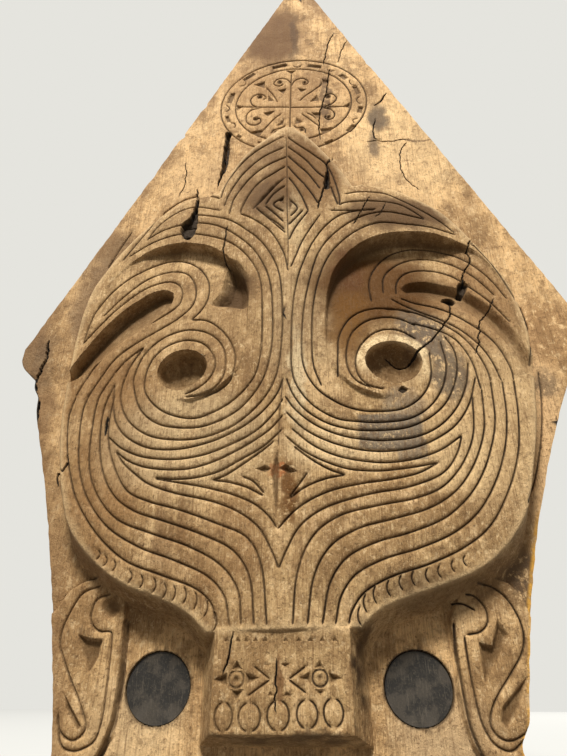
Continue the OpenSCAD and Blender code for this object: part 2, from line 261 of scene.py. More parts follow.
def wear(y, long_wave, short_wave, seed, chips):
    """How far an edge has been worn and chipped back at height y."""
    worn = 0.9 + 0.5 * noise(y, 0 * y, long_wave, seed) + 0.4 * noise(y, 0 * y, short_wave, seed + 1)
    for centre, width, depth in chips:
        worn = worn + depth * bump_at(y, centre, width)
    return worn


def plank_edges(y):
    """Left and right edge of the plank at height y."""
    fade = np.clip((PEAK_Y - y) / 60, 0.02, 1)
    left = bare_edge(y, LEFT_X, -TAIL_HALF, 1.4) + fade * wear(y, 34, 7, 1, LEFT_CHIPS)
    left = np.maximum(left - 7 * bump_at(y, CORNER_Y - 20, 16), LEFT_X + 0.3)
    right = bare_edge(y, RIGHT_X, TAIL_HALF, 1.65) - fade * wear(y, 31, 6, 3, RIGHT_CHIPS)
    return np.minimum(left, PEAK_X - BLUNT), np.maximum(right, PEAK_X + BLUNT)


def mask_height(x, y):
    """Height of the mask's swelling surface, without its wall."""
    t = np.clip((y - CHIN_Y) / (SHOULDER_Y - CHIN_Y), 0, 1)
    left = np.interp(y, MASK_LEFT[:, 1], -MASK_LEFT[:, 0])
    right = np.interp(y, MASK_RIGHT[::-1, 1], MASK_RIGHT[::-1, 0])
    mid = MASK_MID * np.clip(4 * t, 0, 1)
    half = np.where(x < mid, left + mid, right - mid)
    s = np.clip(np.abs(x - mid) / half, 0, 1)
    rim = RIM_H + 9 * np.clip(1 - t / 0.12, 0, 1) - 2 * t
    ridge = RIDGE_H - 3.5 * (1 - t) ** 2
    body = rim + (ridge - rim) * (1 - s ** 1.5)
    off = np.abs(x - 3)
    reach = 92 * np.clip((y - CROWN_FOOT_Y) / 95, 0, 1)
    crown = RIDGE_H - 0.14 * off - 30 * np.clip(off - reach, 0, 40) / 40
    return np.where(y > CROWN_FOOT_Y, np.maximum(body, crown), body)


# Brow arches: over the top, down beside the nose and curled under the eye
ARCH_LEFT = carried([(-199, 372), (-195, 393), (-183, 410), (-170, 425), (-155, 437), (-138, 444),
                     (-118, 447), (-98, 444), (-80, 437), (-65, 425), (-52, 409), (-43, 391), (-38, 370),
                     (-37, 340), (-37, 305), (-42, 280), (-52, 262), (-68, 248), (-90, 239)], mask_height)
ARCH_RIGHT = carried([(238, 300), (238, 330), (233, 357), (224, 382), (212, 405), (198, 421), (175, 436),
                      (155, 443), (130, 445), (108, 442), (88, 433), (71, 418), (58, 400), (50, 378),
                      (45, 350), (43, 315), (45, 282), (55, 261), (72, 245), (95, 236), (112, 240)],
                     mask_height)
ARCH_LEFT = np.vstack([curve(ARCH_LEFT, 5),
                       [(-112, 244), (-150, 250), (-195, 258), (-214, 300), (-212, 345)]])
ARCH_RIGHT = np.vstack([curve(ARCH_RIGHT, 5), [(128, 246), (160, 256), (205, 262), (228, 275)]])
SLOT_LEFT = (
    sight([(-219, 264), (-217, 280), (-206, 301), (-190, 326), (-172, 347), (-155, 364), (-140, 376),
           (-129, 378), (-120, 373)], 24.0),
    sight([(-219, 264), (-205, 270), (-189, 285), (-172, 303), (-156, 318), (-139, 331), (-125, 346),
           (-118, 360), (-120, 373)], 24.0),
)
POCKET_LEFT = sight([(-59, 404), (-63, 384), (-66, 362), (-75, 346), (-58, 341), (-36, 338), (-34, 372),
                     (-46, 396)], 21.0)
SLOT_RIGHT = (
    sight([(122, 366), (132, 375), (150, 378), (168, 373), (186, 362), (206, 340), (226, 310), (239, 275),
           (239, 252)], 25.0),
    sight([(122, 366), (132, 356), (146, 350), (164, 345), (184, 330), (204, 308), (220, 282), (230, 258),
           (239, 252)], 25.0),
)


def floor_depth(x, y, side):
    """Depth of an eye's hollow below the mask, as if it had no edge."""
    deep = np.where(side < 0, 14.5, 22.0)
    fall = deep - (deep + 5) * np.clip((430 - y) / 185, 0, 1) ** 0.9
    outer = smooth((side * x - np.where(side < 0, 130, 165)) / 55)
    proud = np.clip(-fall, 0, 6) * smooth((112 - side * x) / 36)
    return np.clip(fall, 0, 30) * (1 - 0.85 * outer) - proud


def socket_depth(x, y, arch, side):
    """How deep the eye's surface lies below the mask, negative where the eye stands proud."""
    near = close_to(arch, x, y, 1.0)
    depth = np.zeros(x.shape)
    wall = smooth((inside_distance(arch, x[near], y[near]) + 0.5) / 2.6)
    depth[near] = wall * floor_depth(x[near], y[near], side)
    return depth


def socket_floor(x, y):
    """Surface on which the lines inside the eye hollows are drawn."""
    return mask_height(x, y) - floor_depth(x, y, np.where(x < 0, -1, 1))


def relief(x, y):
    """Height of the carving above the plank's face, without its lines and chips."""
    d = inside_distance(MASK, x, y)
    batter = 4 + 10 * smooth((150 - y) / 60)
    surface = mask_height(x, y)
    wall = np.clip(1 - np.clip(-d, 0, None) / batter, 0, 1)
    rounded = 1.2 * np.clip(1 - d / 2.5, 0, 1) ** 2 * (d > 0)
    h = np.where(d > 0, surface - rounded, surface * wall - 1.2 * wall)
    h = h - socket_depth(x, y, ARCH_LEFT, -1) - socket_depth(x, y, ARCH_RIGHT, 1)
    h = np.where(d > 0, np.maximum(h, 8), h)
    for panel in (PANEL_LEFT, PANEL_RIGHT):
        outline = on_panel(panel)
        near = close_to(outline, x, y, 2.0)
        rise = np.zeros(x.shape)
        rise[near] = PANEL_H * smooth((inside_distance(outline, x[near], y[near]) + 1.0) / 2.6)
        h = np.maximum(h, rise)
    left, right, bottom, top = COLLAR
    out = np.maximum(np.maximum(left - x, x - right) / 15.0, (bottom - y) / 10.0)
    block = COLLAR_H * (1 - np.clip(out, 0, 1)) - 0.8 * np.clip(1 + out * 8, 0, 1)
    return np.minimum(np.maximum(h, np.where(y < top, block, 0)), TOP_H)


def face_swell(x, y):
    """Unevenness of the plank's bare face."""
    return 0.45 * noise(x, y, 38, 11) + 0.25 * noise(x, y, 9, 12)


def darken(mark, where, value):
    """Raises a mark to the given value where it is lower."""
    mark[where] = np.maximum(mark[where], value)


def cut_slot(h, dark, x, y, edges, depth, lip, share):
    """Cuts a slot that is deepest under its upper edge and runs out at its lower one."""
    upper, lower = (curve(edge, 3) for edge in edges)
    outline = np.vstack([upper, lower[::-1][1:-1]])
    near = close_to(outline, x, y)
    d = inside_distance(outline, x[near], y[near])
    to_upper, to_lower = (nearest_on(np.vstack([edge, edge[::-1]]), x[near], y[near], 60)[0]
                          for edge in (upper, lower))
    slope = (d > 0) * (to_lower / (to_upper + to_lower + 1e-6)) ** 0.55
    h[near] -= depth * slope * smooth(to_upper / lip)
    # Painted shade in the slot, darkest under its upper edge
    darken(dark, near, share * slope * smooth(to_upper / (lip + 1)))


def hollows(h, x, y):
    """Cuts the slots, the pocket and the eye holes, and returns the shade painted in them and at the foot of
    the brow arches' walls.
    """
    dark = np.zeros(x.shape)
    cut_slot(h, dark, x, y, SLOT_LEFT, depth=18, lip=2.5, share=0.9)
    cut_slot(h, dark, x, y, SLOT_RIGHT, depth=12, lip=7, share=0.75)
    pocket = closed(POCKET_LEFT, 5)
    near = close_to(pocket, x, y)
    d = inside_distance(pocket, x[near], y[near])
    h[near] -= 14 * np.clip(d / 12, 0, 1)
    # Painted shade in the pocket, darker towards its middle
    darken(dark, near, smooth(d / 7))
    for arch, side, share in ((ARCH_LEFT, -1, 0.55), (ARCH_RIGHT, 1, 0.8)):
        near = close_to(arch, x, y, 1.0)
        d = inside_distance(arch, x[near], y[near])
        # Painted shade at the foot of each brow arch's wall, fading over the floor beside it, stronger under
        # the right arch
        painted_shade = smooth((d + 0.5) / 1.5) * np.where(d < 3, 1, np.exp(-(d - 3) / 4.5))
        depth = np.clip(floor_depth(x[near], y[near], side) / 14, 0, 1)
        darken(dark, near, share * painted_shade * depth)
    for centre, rx, ry, seed in EYE_HOLES:
        r = np.hypot((x - centre[0]) / rx, (y - centre[1]) / ry)
        inner = r < 1
        bowl = (1 - r[inner] ** 5) ** 0.6
        rough = 1.0 * noise(x[inner], y[inner], 5, seed) + 0.5 * noise(x[inner], y[inner], 2, seed + 9)
        h[inner] -= bowl * (EYE_HOLE_DEPTH + rough)
        # Painted shade in the eye hole
        darken(dark, inner, 0.62 * smooth((1 - r[inner]) * 9))
    return dark


# ---------------------------------------------------------------- the cartoon of carved lines
# LINES lie on the mask, HOLLOW lines lie in the eye hollows, and SWEEP holds the guides of five lines each
SWEEP_LEFT = [
    [(-205, 250), (-208, 228), (-204, 200), (-196, 172), (-183, 143), (-160, 114), (-132, 92), (-100, 80),
     (-72, 70), (-57, 58), (-51, 42)],
    [(-170, 275), (-182, 245), (-182, 205), (-177, 172), (-164, 146), (-143, 126), (-112, 114), (-80, 103),
     (-52, 88), (-36, 68), (-32, 42)],
    [(-166, 250), (-167, 222), (-163, 196), (-153, 172), (-139, 152), (-118, 142), (-90, 134), (-55, 121),
     (-30, 109), (-17, 85), (-12, 42)],
]
SWEEP_RIGHT = [
    [(216, 250), (213, 215), (206, 180), (192, 147), (172, 117), (148, 99), (118, 86), (88, 77), (66, 66),
     (55, 53), (51, 42)],
    [(195, 250), (192, 212), (184, 185), (172, 160), (156, 139), (134, 122), (105, 111), (78, 104), (53, 92),
     (38, 72), (31, 42)],
    [(176, 235), (171, 200), (162, 178), (149, 160), (133, 147), (110, 139), (80, 134), (48, 126), (25, 109),
     (12, 80), (8, 42)],
]
LINES_LEFT = [
    # spirals that run over the brow, down the nose and under the eye
    [(-178, 431), (-150, 452), (-118, 462), (-85, 456), (-58, 442), (-38, 418), (-25, 385), (-22, 330),
     (-23, 290), (-30, 262), (-48, 240), (-70, 226), (-90, 222), (-115, 230), (-133, 247), (-138, 265),
     (-134, 287), (-122, 303), (-103, 311), (-85, 308), (-73, 296), (-68, 280), (-73, 265), (-84, 254),
     (-96, 248)],
    [(-160, 456), (-140, 470), (-110, 478), (-80, 473), (-52, 453), (-30, 425), (-15, 385), (-11, 330),
     (-13, 290), (-22, 257), (-42, 230), (-66, 216), (-90, 212), (-118, 217), (-138, 233), (-148, 258),
     (-149, 272), (-144, 292), (-132, 309), (-116, 320), (-97, 324), (-78, 319), (-64, 306), (-58, 288),
     (-59, 268), (-68, 254), (-82, 247), (-95, 245)],
    [(-105, 492), (-82, 487), (-62, 479), (-42, 462), (-22, 438), (-6, 400), (-1, 350), (-2, 300), (-8, 262),
     (-22, 236), (-45, 214), (-70, 203), (-95, 200), (-125, 205), (-147, 220), (-158, 240), (-160, 258),
     (-155, 282), (-144, 305)],
    # short brow strokes
    [(-52, 490), (-35, 479), (-15, 458), (0, 425), (5, 398)],
    [(-31, 496), (-22, 485), (-10, 470), (2, 455)],
    # curves under the eye
    [(0, 262), (-6, 245), (-20, 226), (-40, 210), (-65, 198), (-95, 191), (-125, 193), (-148, 205),
     (-160, 220), (-166, 240), (-168, 262)],
    [(0, 240), (-8, 225), (-25, 207), (-50, 193), (-75, 184), (-100, 181), (-128, 184), (-150, 193),
     (-166, 206)],
    [(0, 222), (-12, 208), (-30, 195), (-55, 181), (-78, 173), (-100, 171), (-125, 174), (-143, 181),
     (-155, 190)],
    [(-1, 207), (-18, 191), (-38, 179), (-58, 168), (-78, 163), (-98, 162), (-115, 164)],
    [(-8, 196), (-20, 186), (-38, 173), (-52, 164), (-63, 160)],
    # lower sweeps that meet at the nose
    [(-155, 190), (-148, 180), (-137, 170), (-120, 158), (-95, 149), (-62, 141), (-38, 131), (-20, 117),
     (-9, 98), (-3, 84)],
    [(-115, 163), (-95, 159), (-70, 154), (-45, 147), (-25, 138), (-12, 127), (-5, 117)],
    [(-62, 160), (-48, 158), (-32, 153), (-17, 145)],
    [(-36, 163), (-26, 158), (-16, 147)],
    # shoulder beside the crown
    [(-78, 517), (-85, 521), (-100, 523), (-118, 520), (-135, 508), (-150, 490), (-160, 472), (-172, 450),
     (-185, 425)],
    [(-76, 497), (-90, 502), (-105, 505), (-120, 502), (-135, 492), (-150, 475), (-160, 455)],
    [(-180, 470), (-190, 445), (-200, 415)],
]
HOLLOW_LEFT = [
    # ribbons over the eye that run down the temple
    [(-210, 312), (-207, 335), (-202, 355), (-190, 378), (-172, 398), (-150, 412), (-130, 419), (-112, 418),
     (-97, 410), (-86, 396), (-81, 380), (-82, 362), (-88, 348), (-97, 337)],
    [(-194, 347), (-172, 376), (-150, 396), (-125, 404), (-106, 399), (-96, 380), (-97, 358), (-110, 341),
     (-130, 326), (-152, 311), (-172, 292), (-186, 265), (-194, 247)],
    [(-210, 312), (-196, 334), (-178, 358), (-155, 380), (-130, 390), (-115, 385), (-110, 370), (-114, 356),
     (-130, 342), (-152, 327), (-175, 307), (-192, 283), (-204, 255), (-205, 250)],
    [(-144, 305), (-158, 292), (-170, 275)],
    [(-97, 337), (-80, 335), (-64, 322), (-52, 303), (-48, 284), (-52, 265), (-63, 254), (-78, 247)],
]
LINES_RIGHT = [
    [(190, 437), (165, 450), (135, 458), (110, 462), (88, 455), (65, 436), (48, 412), (37, 380), (31, 345),
     (29, 305), (30, 275), (37, 252)],
    [(160, 463), (125, 477), (100, 477), (78, 467), (58, 450), (42, 428), (32, 400), (22, 350), (18.5, 300),
     (21, 272), (32, 250), (50, 234), (70, 225), (90, 222.5), (112, 225), (130, 237), (141, 257),
     (143, 285)],
    [(105, 483), (85, 483), (65, 477), (48, 462), (33, 438), (22, 410), (15, 385), (10, 350), (8, 300),
     (9, 268), (16, 248), (30, 230), (50, 217), (70, 213), (90, 211.5), (115, 214), (135, 225), (150, 245),
     (157, 270), (155, 297)],
    [(8, 403), (14, 420), (21, 440), (31, 460), (43, 481)],
    [(3, 262), (10, 243), (22, 226), (42, 212), (65, 205), (90, 203.5), (115, 206), (138, 217), (155, 235),
     (166, 262), (167, 285), (160, 302)],
    [(2, 242), (12, 227), (30, 211), (52, 200), (75, 195), (95, 193.5), (120, 196), (142, 206), (160, 224),
     (172, 247), (178, 272)],
    [(3, 225), (20, 207), (42, 194), (66, 186), (92, 183), (118, 186), (140, 195), (158, 208), (172, 228),
     (182, 255)],
    [(8, 208), (26, 192), (46, 181), (68, 175), (92, 172.5), (116, 175), (140, 183), (160, 196)],
    [(3, 200), (20, 185), (40, 174), (60, 167), (85, 165), (110, 167), (136, 171)],
    [(10, 190), (26, 177), (42, 167), (55, 162)],
    [(160, 196), (154, 180), (143, 165), (128, 156), (105, 149), (78, 145), (50, 138), (30, 130), (14, 117),
     (4, 100), (-3, 84)],
    [(136, 171), (118, 162), (95, 157), (70, 154), (45, 149), (25, 141), (10, 131), (-4, 116)],
    [(55, 162), (38, 159), (20, 152), (6, 142)],
    [(22, 165), (14, 154), (6, 143)],
    [(205, 425), (218, 400), (228, 375), (236, 345), (240, 320), (240, 295), (236, 268)],
    [(240, 258), (236, 226), (228, 192), (216, 158), (204, 133)],
    [(65, 494), (75, 498), (100, 498), (125, 493), (140, 485), (155, 470), (160, 463)],
    [(73, 512), (90, 514), (110, 511), (125, 505), (150, 485), (175, 460), (190, 440)],
    [(55, 486), (80, 484), (107, 484)],
]
HOLLOW_RIGHT = [
    [(122, 352), (135, 345), (155, 338), (170, 330), (185, 318), (200, 302), (210, 285), (216, 262),
     (216, 250)],
    [(112, 352), (125, 342), (140, 333), (160, 322), (178, 308), (192, 290), (200, 272), (205, 250)],
    [(105, 339), (125, 336), (145, 327), (163, 315), (178, 300), (188, 282), (194, 262), (195, 250)],
    [(130, 320), (150, 312), (165, 303), (175, 290), (182, 270), (185, 242)],
    [(96, 246), (82, 251), (73, 262), (71, 278), (76, 294), (88, 308), (103, 314), (118, 311), (132, 301)],
    [(84, 248), (70, 257), (63, 272), (63, 292), (70, 312), (85, 325), (104, 329), (120, 325), (133, 317)],
    [(53, 262), (54, 285), (57, 310), (70, 331), (90, 340), (112, 339), (130, 333)],
    [(92, 350), (91, 372), (97, 391), (112, 409), (135, 418), (160, 415), (185, 405), (203, 390), (218, 368),
     (228, 345)],
    [(105, 360), (107, 380), (118, 394), (138, 403), (162, 401), (185, 390), (203, 372), (217, 350)],
    [(118, 358), (120, 372), (128, 383), (143, 387.5), (162, 385), (180, 376), (196, 360), (212, 340),
     (226, 316)],
]
LINES_CROWN = [
    [(0, 626), (-14, 618), (-34, 602), (-50, 584), (-63, 562), (-72, 542), (-77, 518)],
    [(0, 604), (-22, 592), (-40, 574), (-56, 550), (-67, 524), (-72, 504)],
    [(3, 586), (-18, 574), (-36, 558), (-51, 536), (-61, 514), (-65, 490)],
    [(2, 568), (-16, 554), (-30, 542), (-42, 522), (-50, 500), (-51.5, 491)],
    [(2, 533), (-12, 520), (-22, 502)],
    [(-33, 498), (-22, 485), (-6, 470), (1, 460)],
    [(5, 624), (20, 606), (38, 586), (52, 568), (60, 545), (66, 512), (66, 494)],
    [(5, 605), (18, 590), (30, 574), (40, 556), (50, 543)],
    [(5, 588), (16, 572), (30, 552), (44, 524)],
    [(5, 568), (14, 552), (26, 532), (34, 516), (41, 499)],
    [(6, 548), (14, 532), (22, 512), (29, 488)],
    [(29, 488), (14, 464), (6, 444)],
    [(23, 490), (14, 478), (6, 468)],
    [(57, 527), (61, 508), (64, 495)],
    [(-22, 500), (-9, 485), (0, 473)],
    [(0, 513), (-12, 502), (0, 489)],
    [(8, 508), (16, 494), (8, 481)],
]
CROWN_DEEP = [(1, 547), (-10, 536), (-22, 518), (-36, 497)]
NOSE_CREASE = [[(3, 622), (4, 560), (4, 500), (5, 450), (5, 404)], [(0, 264), (-3, 225), (-4, 190)]]
NICKS_LEFT = [(-156, 97), (-149, 92), (-141, 88), (-126, 79), (-116, 75), (-105, 72), (-96, 68), (-88, 66),
              (-79, 64), (-70, 60), (-61, 55), (-53, 45)]
NICKS_RIGHT = [(146, 88), (136, 84), (125, 80), (115, 77), (104, 75), (94, 72), (84, 68), (73, 63), (65, 57),
               (60, 48)]
PANEL_LINES = [
    [(-202, 60), (-195, 75), (-180, 84), (-165, 86)],
    [(-165, 79), (-180, 73), (-188, 60), (-193, 45), (-193, 32), (-188, 22), (-178, 5), (-168, -10),
     (-160, -25), (-162, -33), (-170, -36), (-180, -30), (-184, -20)],
    [(-155, 72), (-166, 68), (-170, 58), (-168, 48), (-160, 42), (-150, 41), (-148, 30), (-147, 0),
     (-147, -20), (-150, -35), (-158, -41), (-168, -43), (-178, -38), (-184, -18)],
    [(160, 77), (172, 75), (183, 66), (190, 52), (192, 38), (188, 25), (178, 12), (165, -3), (157, -15),
     (155, -25), (160, -32), (168, -34), (178, -30), (183, -25)],
    [(150, 69), (158, 67), (165, 58), (165, 47), (158, 40), (147, 38)],
    [(138, 62), (148, 61), (157, 56)],
    [(145, 37), (145, 20), (146, 0), (148, -20), (153, -33), (160, -39), (168, -40), (178, -33)],
]
# Deep cuts where a panel's inner edge meets the plank: line, width and depth
PANEL_GAPS = [
    ([(-136.5, 50), (-135, 20), (-134.5, -7), (-137, -28), (-143, -44), (-152, -56)], 4.2, 6.0),
    ([(136.5, 46), (135.5, 25), (136.5, 0), (138.5, -25), (144, -42), (152, -54)], 3.2, 3.5),
]
# Pockets cut with a few strokes of a chisel: outline and depth
PETALS = [
    ([(-25, 168), (-15, 172), (-9, 168), (-15, 164)], 3.4),
    ([(-4, 168), (3, 172), (15, 164.5), (5, 162)], 4.2),
    ([(-10, 166), (-7, 176), (-4, 190), (-3, 176), (-2, 166), (-5, 118)], 3.0),
    ([(-6, 502), (1, 510), (1, 494)], 2.2),
    ([(6, 512), (11, 494), (7, 480)], 3.0),
]
PANEL_CHIPS = [
    ([(-179, 40), (-167, 37), (-155, 36), (-157, 22), (-163, 10), (-172, 24)], 5.0),
    ([(-183, -2), (-172, -15), (-162, -27), (-166, -30), (-178, -15)], 4.0),
    ([(155, 33), (165, 30), (173, 50), (180, 38), (168, 20), (155, 2)], 4.5),
    ([(190, 10), (178, 0), (165, -12), (162, -22), (166, -27), (175, -17), (182, -5)], 3.5),
]
# Neck block: chips, arrows, the middle of each tooth, ovals with their radii, and ringed holes
COLLAR_CHIPS = [
    [(-53, 4.5), (-41, 10), (-41, 0.5)],
    [(-28, 10), (-16, 6), (-27, 1)],
    [(-39, 11), (-34.5, 18), (-29, 11)],
    [(-39, -1.5), (-34, -9.5), (-28, -1.5)],
    [(12, 6), (21, 10.5), (21, 2)],
    [(34, 10.5), (45, 6), (35, 1.5)],
    [(23, 12), (28, 18.5), (32, 12)],
    [(23, -1.5), (32, -1.5), (28, -6)],
    [(-14.5, 15.5), (-7, 15.5), (-11, 13)],
    [(-2, 16), (8, 16.5), (2, 12)],
    [(-12, -6), (-9, -2), (-5, -6)],
    [(0, -6.5), (3, -2), (8, -6)],
]
COLLAR_ARROWS = [[(-22, 14), (-9, 5), (-26, -6)], [(18, 14), (4.5, 5), (18, -4)]]
COLLAR_TEETH = (-43, -34.5, -28, -20.5, -13.5, 2.5, 12.5, 21.5, 30.5, 40)
COLLAR_OVALS = [(-43, -19, 6.5, 9), (-24, -19, 8, 9), (-3, -18, 8, 9.5), (18, -17, 7.5, 9), (37, -16, 7, 9)]
COLLAR_HOLES = [(-34.5, 5.0), (28.0, 6.0)]
COLLAR_RING_R = 5.6                               # radius of the ring round each of them
PANEL_HOLE = (-150, 60, 9)                        # centre and radius of the round hollow in the left panel
# Medallion: chips between its rings (centre, length, width), marks there (centre, length), and pits
# (centre, radius), chips and scrolls inside its rings
RING = (10.0, 756.0, 108.0, 86.0)                 # medallion centre and radii of its two rings
RING_CHIPS = [(-10, 851, 26, 9), (44, 845, 24, 9), (87, 812, 16, 10), (105, 776, 22, 9), (107, 729, 15, 9),
              (92, 688, 18, 9), (60, 662, 14, 6), (-36, 670, 12, 5), (-68, 688, 9, 6), (-86, 729, 16, 7),
              (-84, 779, 25, 9), (-58, 830, 24, 8)]
RING_MARKS = [(17, 849, 14), (99, 795, 20), (106, 752, 18), (-88, 755, -16), (-77, 715, 14), (-66, 812, 14),
              (68, 832, 14), (98, 706, 12)]
EYES_MEDAL = [(-10, 810, 4.6), (28, 806, 3.6), (-40, 777, 4.8), (62, 765, 4.8), (-45, 725, 4.8),
              (61, 718, 3.6), (22, 693, 4.2), (-15, 692, 3.4)]
MEDAL_CHIPS = [
    [(-50, 808), (-32, 817), (-33, 798)],
    [(-14, 791), (1, 793), (-4, 779)],
    [(17, 792), (32, 788), (22, 779)],
    [(54, 812), (66, 806), (65, 799), (55, 798)],
    [(-27, 780), (-28, 764), (-18, 764)],
    [(34, 755), (49, 757), (46, 773)],
    [(-35, 738), (-14, 741), (-27, 728)],
    [(36, 731), (52, 729), (46, 715)],
    [(-52, 697), (-31, 700), (-39, 682)],
    [(-16, 705), (-4, 706), (-2, 722)],
    [(12, 706), (25, 710), (14, 722)],
    [(47, 692), (68, 693), (51, 680)],
    [(-1, 838), (16, 838), (8, 828)],
    [(-75, 748), (-75, 763), (-64, 756)],
    [(94, 732), (94, 748), (84, 740)],
]
MEDAL_LINES = [
    [(8, 829), (7, 790), (6, 745), (5.5, 720), (5, 690)],
    [(-70, 757), (-45, 753), (5, 746)],
    [(5, 746), (60, 741), (90, 739)],
    [(20, 760), (27, 770), (41, 784), (51, 794), (54, 802)],
    [(-31, 800), (-24, 788), (-18, 775), (-13, 761)],
    [(-7, 733), (-19, 720), (-33, 699)],
    [(22, 730), (35, 714), (47, 699)],
    [(30, 731), (38, 724), (43, 716)],
    [(7, 806), (2, 815), (-6, 819), (-14, 818), (-19, 810), (-16, 803), (-10, 801), (-4, 805)],
    [(8, 799), (11, 808), (17, 814), (25, 816), (32, 811), (33, 804), (28, 800), (24, 804)],
    [(-43, 753), (-51, 760), (-54, 771), (-50, 780), (-41, 784), (-33, 780), (-31, 773), (-36, 769)],
    [(-40, 749), (-51, 747), (-58, 738), (-59, 724), (-54, 714), (-45, 711), (-38, 716), (-38, 724),
     (-43, 729)],
    [(56, 743), (66, 747), (73, 756), (74, 764), (70, 770), (63, 772), (57, 767)],
    [(55, 739), (65, 735), (70, 726), (68, 716), (61, 712), (56, 717), (58, 722)],
    [(10, 705), (16, 698), (23, 699), (27, 694), (27, 685)],
    [(-1, 705), (-8, 700), (-18, 697), (-22, 690)],
]
# Cracks in the mask and in the plank: line, width and depth
CRACKS = [
    ([(-73, 644), (-74, 636), (-77, 590), (-79, 560), (-82, 538)], 2.6, 5.0),
    ([(-107, 536), (-106, 512), (-110, 488)], 2.4, 5.0),
    ([(61, 577), (54, 568), (54, 550), (51, 530), (46, 514), (43, 503), (40, 490)], 2.4, 4.0),
    ([(-66, 470), (-68, 430), (-60, 410)], 1.6, 3.0),
    ([(205, 425), (198, 410), (200, 398), (190, 380), (187, 365)], 1.7, 4.0),
    ([(172, 352), (170, 340), (167, 325), (157, 311), (151, 303), (141, 294), (134, 287),
     (124, 282)], 1.8, 4.0),
    ([(140, 292), (131, 286), (120, 280), (112, 280), (107, 286), (102, 291)], 2.4, 3.5),
    ([(215, 345), (205, 330), (196, 318), (192, 296), (186, 280)], 1.3, 2.4),
    ([(-201, 190), (-200, 178), (-206, 167), (-204, 158)], 2.0, 4.0),
    ([(-168, 226), (-169, 216), (-168, 207)], 4.0, 4.0),
    ([(-38, 37), (-41, 20), (-44, 8)], 1.6, 3.0),
    ([(-5, 19), (-4, 8), (-5, -6), (-4, -17)], 1.3, 2.4),
    ([(103, 506), (96, 494), (90, 480), (80, 462)], 1.3, 2.6),
    ([(2, 348), (1, 340), (3, 332)], 2.6, 2.4),
    ([(120, 492), (112, 478), (106, 470)], 1.2, 2.0),
]
PLANK_CRACKS = [
    ([(78, 932), (70, 912), (66, 890), (62, 870), (57, 848)], 2.2, 3.5),
    ([(97, 908), (90, 888), (85, 870), (80, 850)], 1.8, 3.0),
    ([(68, 836), (64, 812), (61, 782), (55, 752), (50, 735), (47, 700), (48, 668)], 1.9, 4.0),
    ([(146, 762), (138, 745), (128, 736)], 3.4, 4.5),
    ([(112, 657), (128, 656), (142, 654), (168, 656)], 1.8, 3.5),
    ([(128, 706), (122, 684), (122, 664), (132, 660)], 2.2, 3.0),
    ([(165, 651), (156, 633), (152, 609), (154, 583), (161, 568), (171, 554)], 1.5, 2.4),
    ([(20, 1085), (26, 1040), (22, 1010)], 1.3, 2.5),
    ([(-140, 640), (-138, 600), (-143, 570)], 1.2, 2.2),
    ([(-262, 180), (-258, 120), (-261, 70)], 1.3, 3.0),
    ([(262, 230), (265, 160), (259, 110)], 1.4, 3.0),
    ([(-272, 345), (-271, 320), (-275, 290), (-266, 262), (-262, 240)], 3.4, 8.0),
    ([(-120, -50), (-117, -65), (-122, -84)], 1.2, 2.0),
]
# Missing wood: outline on the cartoon, depth and height of the surface round it
PITS = [
    ([(-108, 537), (-104, 535), (-104, 512), (-103, 496), (-102, 470), (-107, 453), (-114, 451),
      (-121, 463), (-122, 480), (-112, 492), (-109, 512)], 9.0, 34),
    ([(-78, 641), (-74, 645), (-70, 640), (-71, 618), (-70, 600), (-72, 572), (-77, 556), (-82, 538),
      (-80, 560), (-79, 590), (-78, 612)], 9.0, 0),
    ([(50, 519), (55, 521), (57, 534), (56, 550), (53, 558), (50, 545), (48, 530)], 6.0, 38),
    ([(181, 358), (183, 370), (190, 374), (194, 368), (191, 360), (186, 354)], 8.0, 27),
    ([(165, 349), (167, 358), (176, 360), (180, 353), (176, 346), (169, 343)], 8.0, 28),
    ([(109, 244), (113, 249), (118, 245), (113, 241)], 2.5, 38),
]


class Cuts:
    """Sample points along every carved line, with their direction, width, depth and kind."""

    def __init__(self):
        self.rows = []

    def add(self, points, width=2.5, depth=2.3, kind=0, taper=2.5, jag=0.0, seed=0):
        """Adds a carved line (kind 0) or a ragged crack (kind 1) that tapers at both ends."""
        p = curve(points)
        run = np.concatenate([[0], np.cumsum(np.hypot(*np.diff(p, axis=0).T))])
        tangent = np.gradient(p, axis=0)
        tangent /= np.maximum(np.hypot(*tangent.T), 1e-9)[:, None]
        if jag:
            row = 0 * run + seed
            side = jag * (noise(run, row, 7, 20 + seed) + 0.5 * noise(run, row, 2.2, 50 + seed))
            p = p + np.c_[-tangent[:, 1], tangent[:, 0]] * side[:, None]
        end = np.clip(np.minimum(run, run[-1] - run) / taper + 0.25, 0, 1)
        ones = np.ones(len(p))
        self.rows.append(np.c_[p, tangent, ones * width * (0.55 + 0.45 * end), ones * depth * end,
                               ones * kind])

    def cartoon(self, points, surface=relief, **how):
        """Adds a line of the cartoon after carrying it on to a surface."""
        self.add(carried(curve(points, 3), surface), **how)

    def finish(self):
        """Makes the samples ready to be searched."""
        self.data = np.vstack(self.rows)
        self.tree = KDTree(len(self.data))
        for k, (x, y) in enumerate(self.data[:, :2]):
            self.tree.insert((x, y, 0), k)
        self.tree.balance()

    def nearest(self, x, y, reach=5.5):
        """Index of the nearest sample to each point, or -1 where none is within reach."""
        index = np.full(x.shape, -1)
        find = self.tree.find
        for k, (px, py) in enumerate(zip(x.tolist(), y.tolist())):
            _, found, away = find((px, py, 0))
            if away < reach:
                index[k] = found
        return index


def ring_axes(x, y):
    """Directions away from the medallion's centre and along its rings at a point."""
    radial = np.array([x - RING[0], y - RING[1]]) / math.hypot(x - RING[0], y - RING[1])
    return radial, np.array([-radial[1], radial[0]])


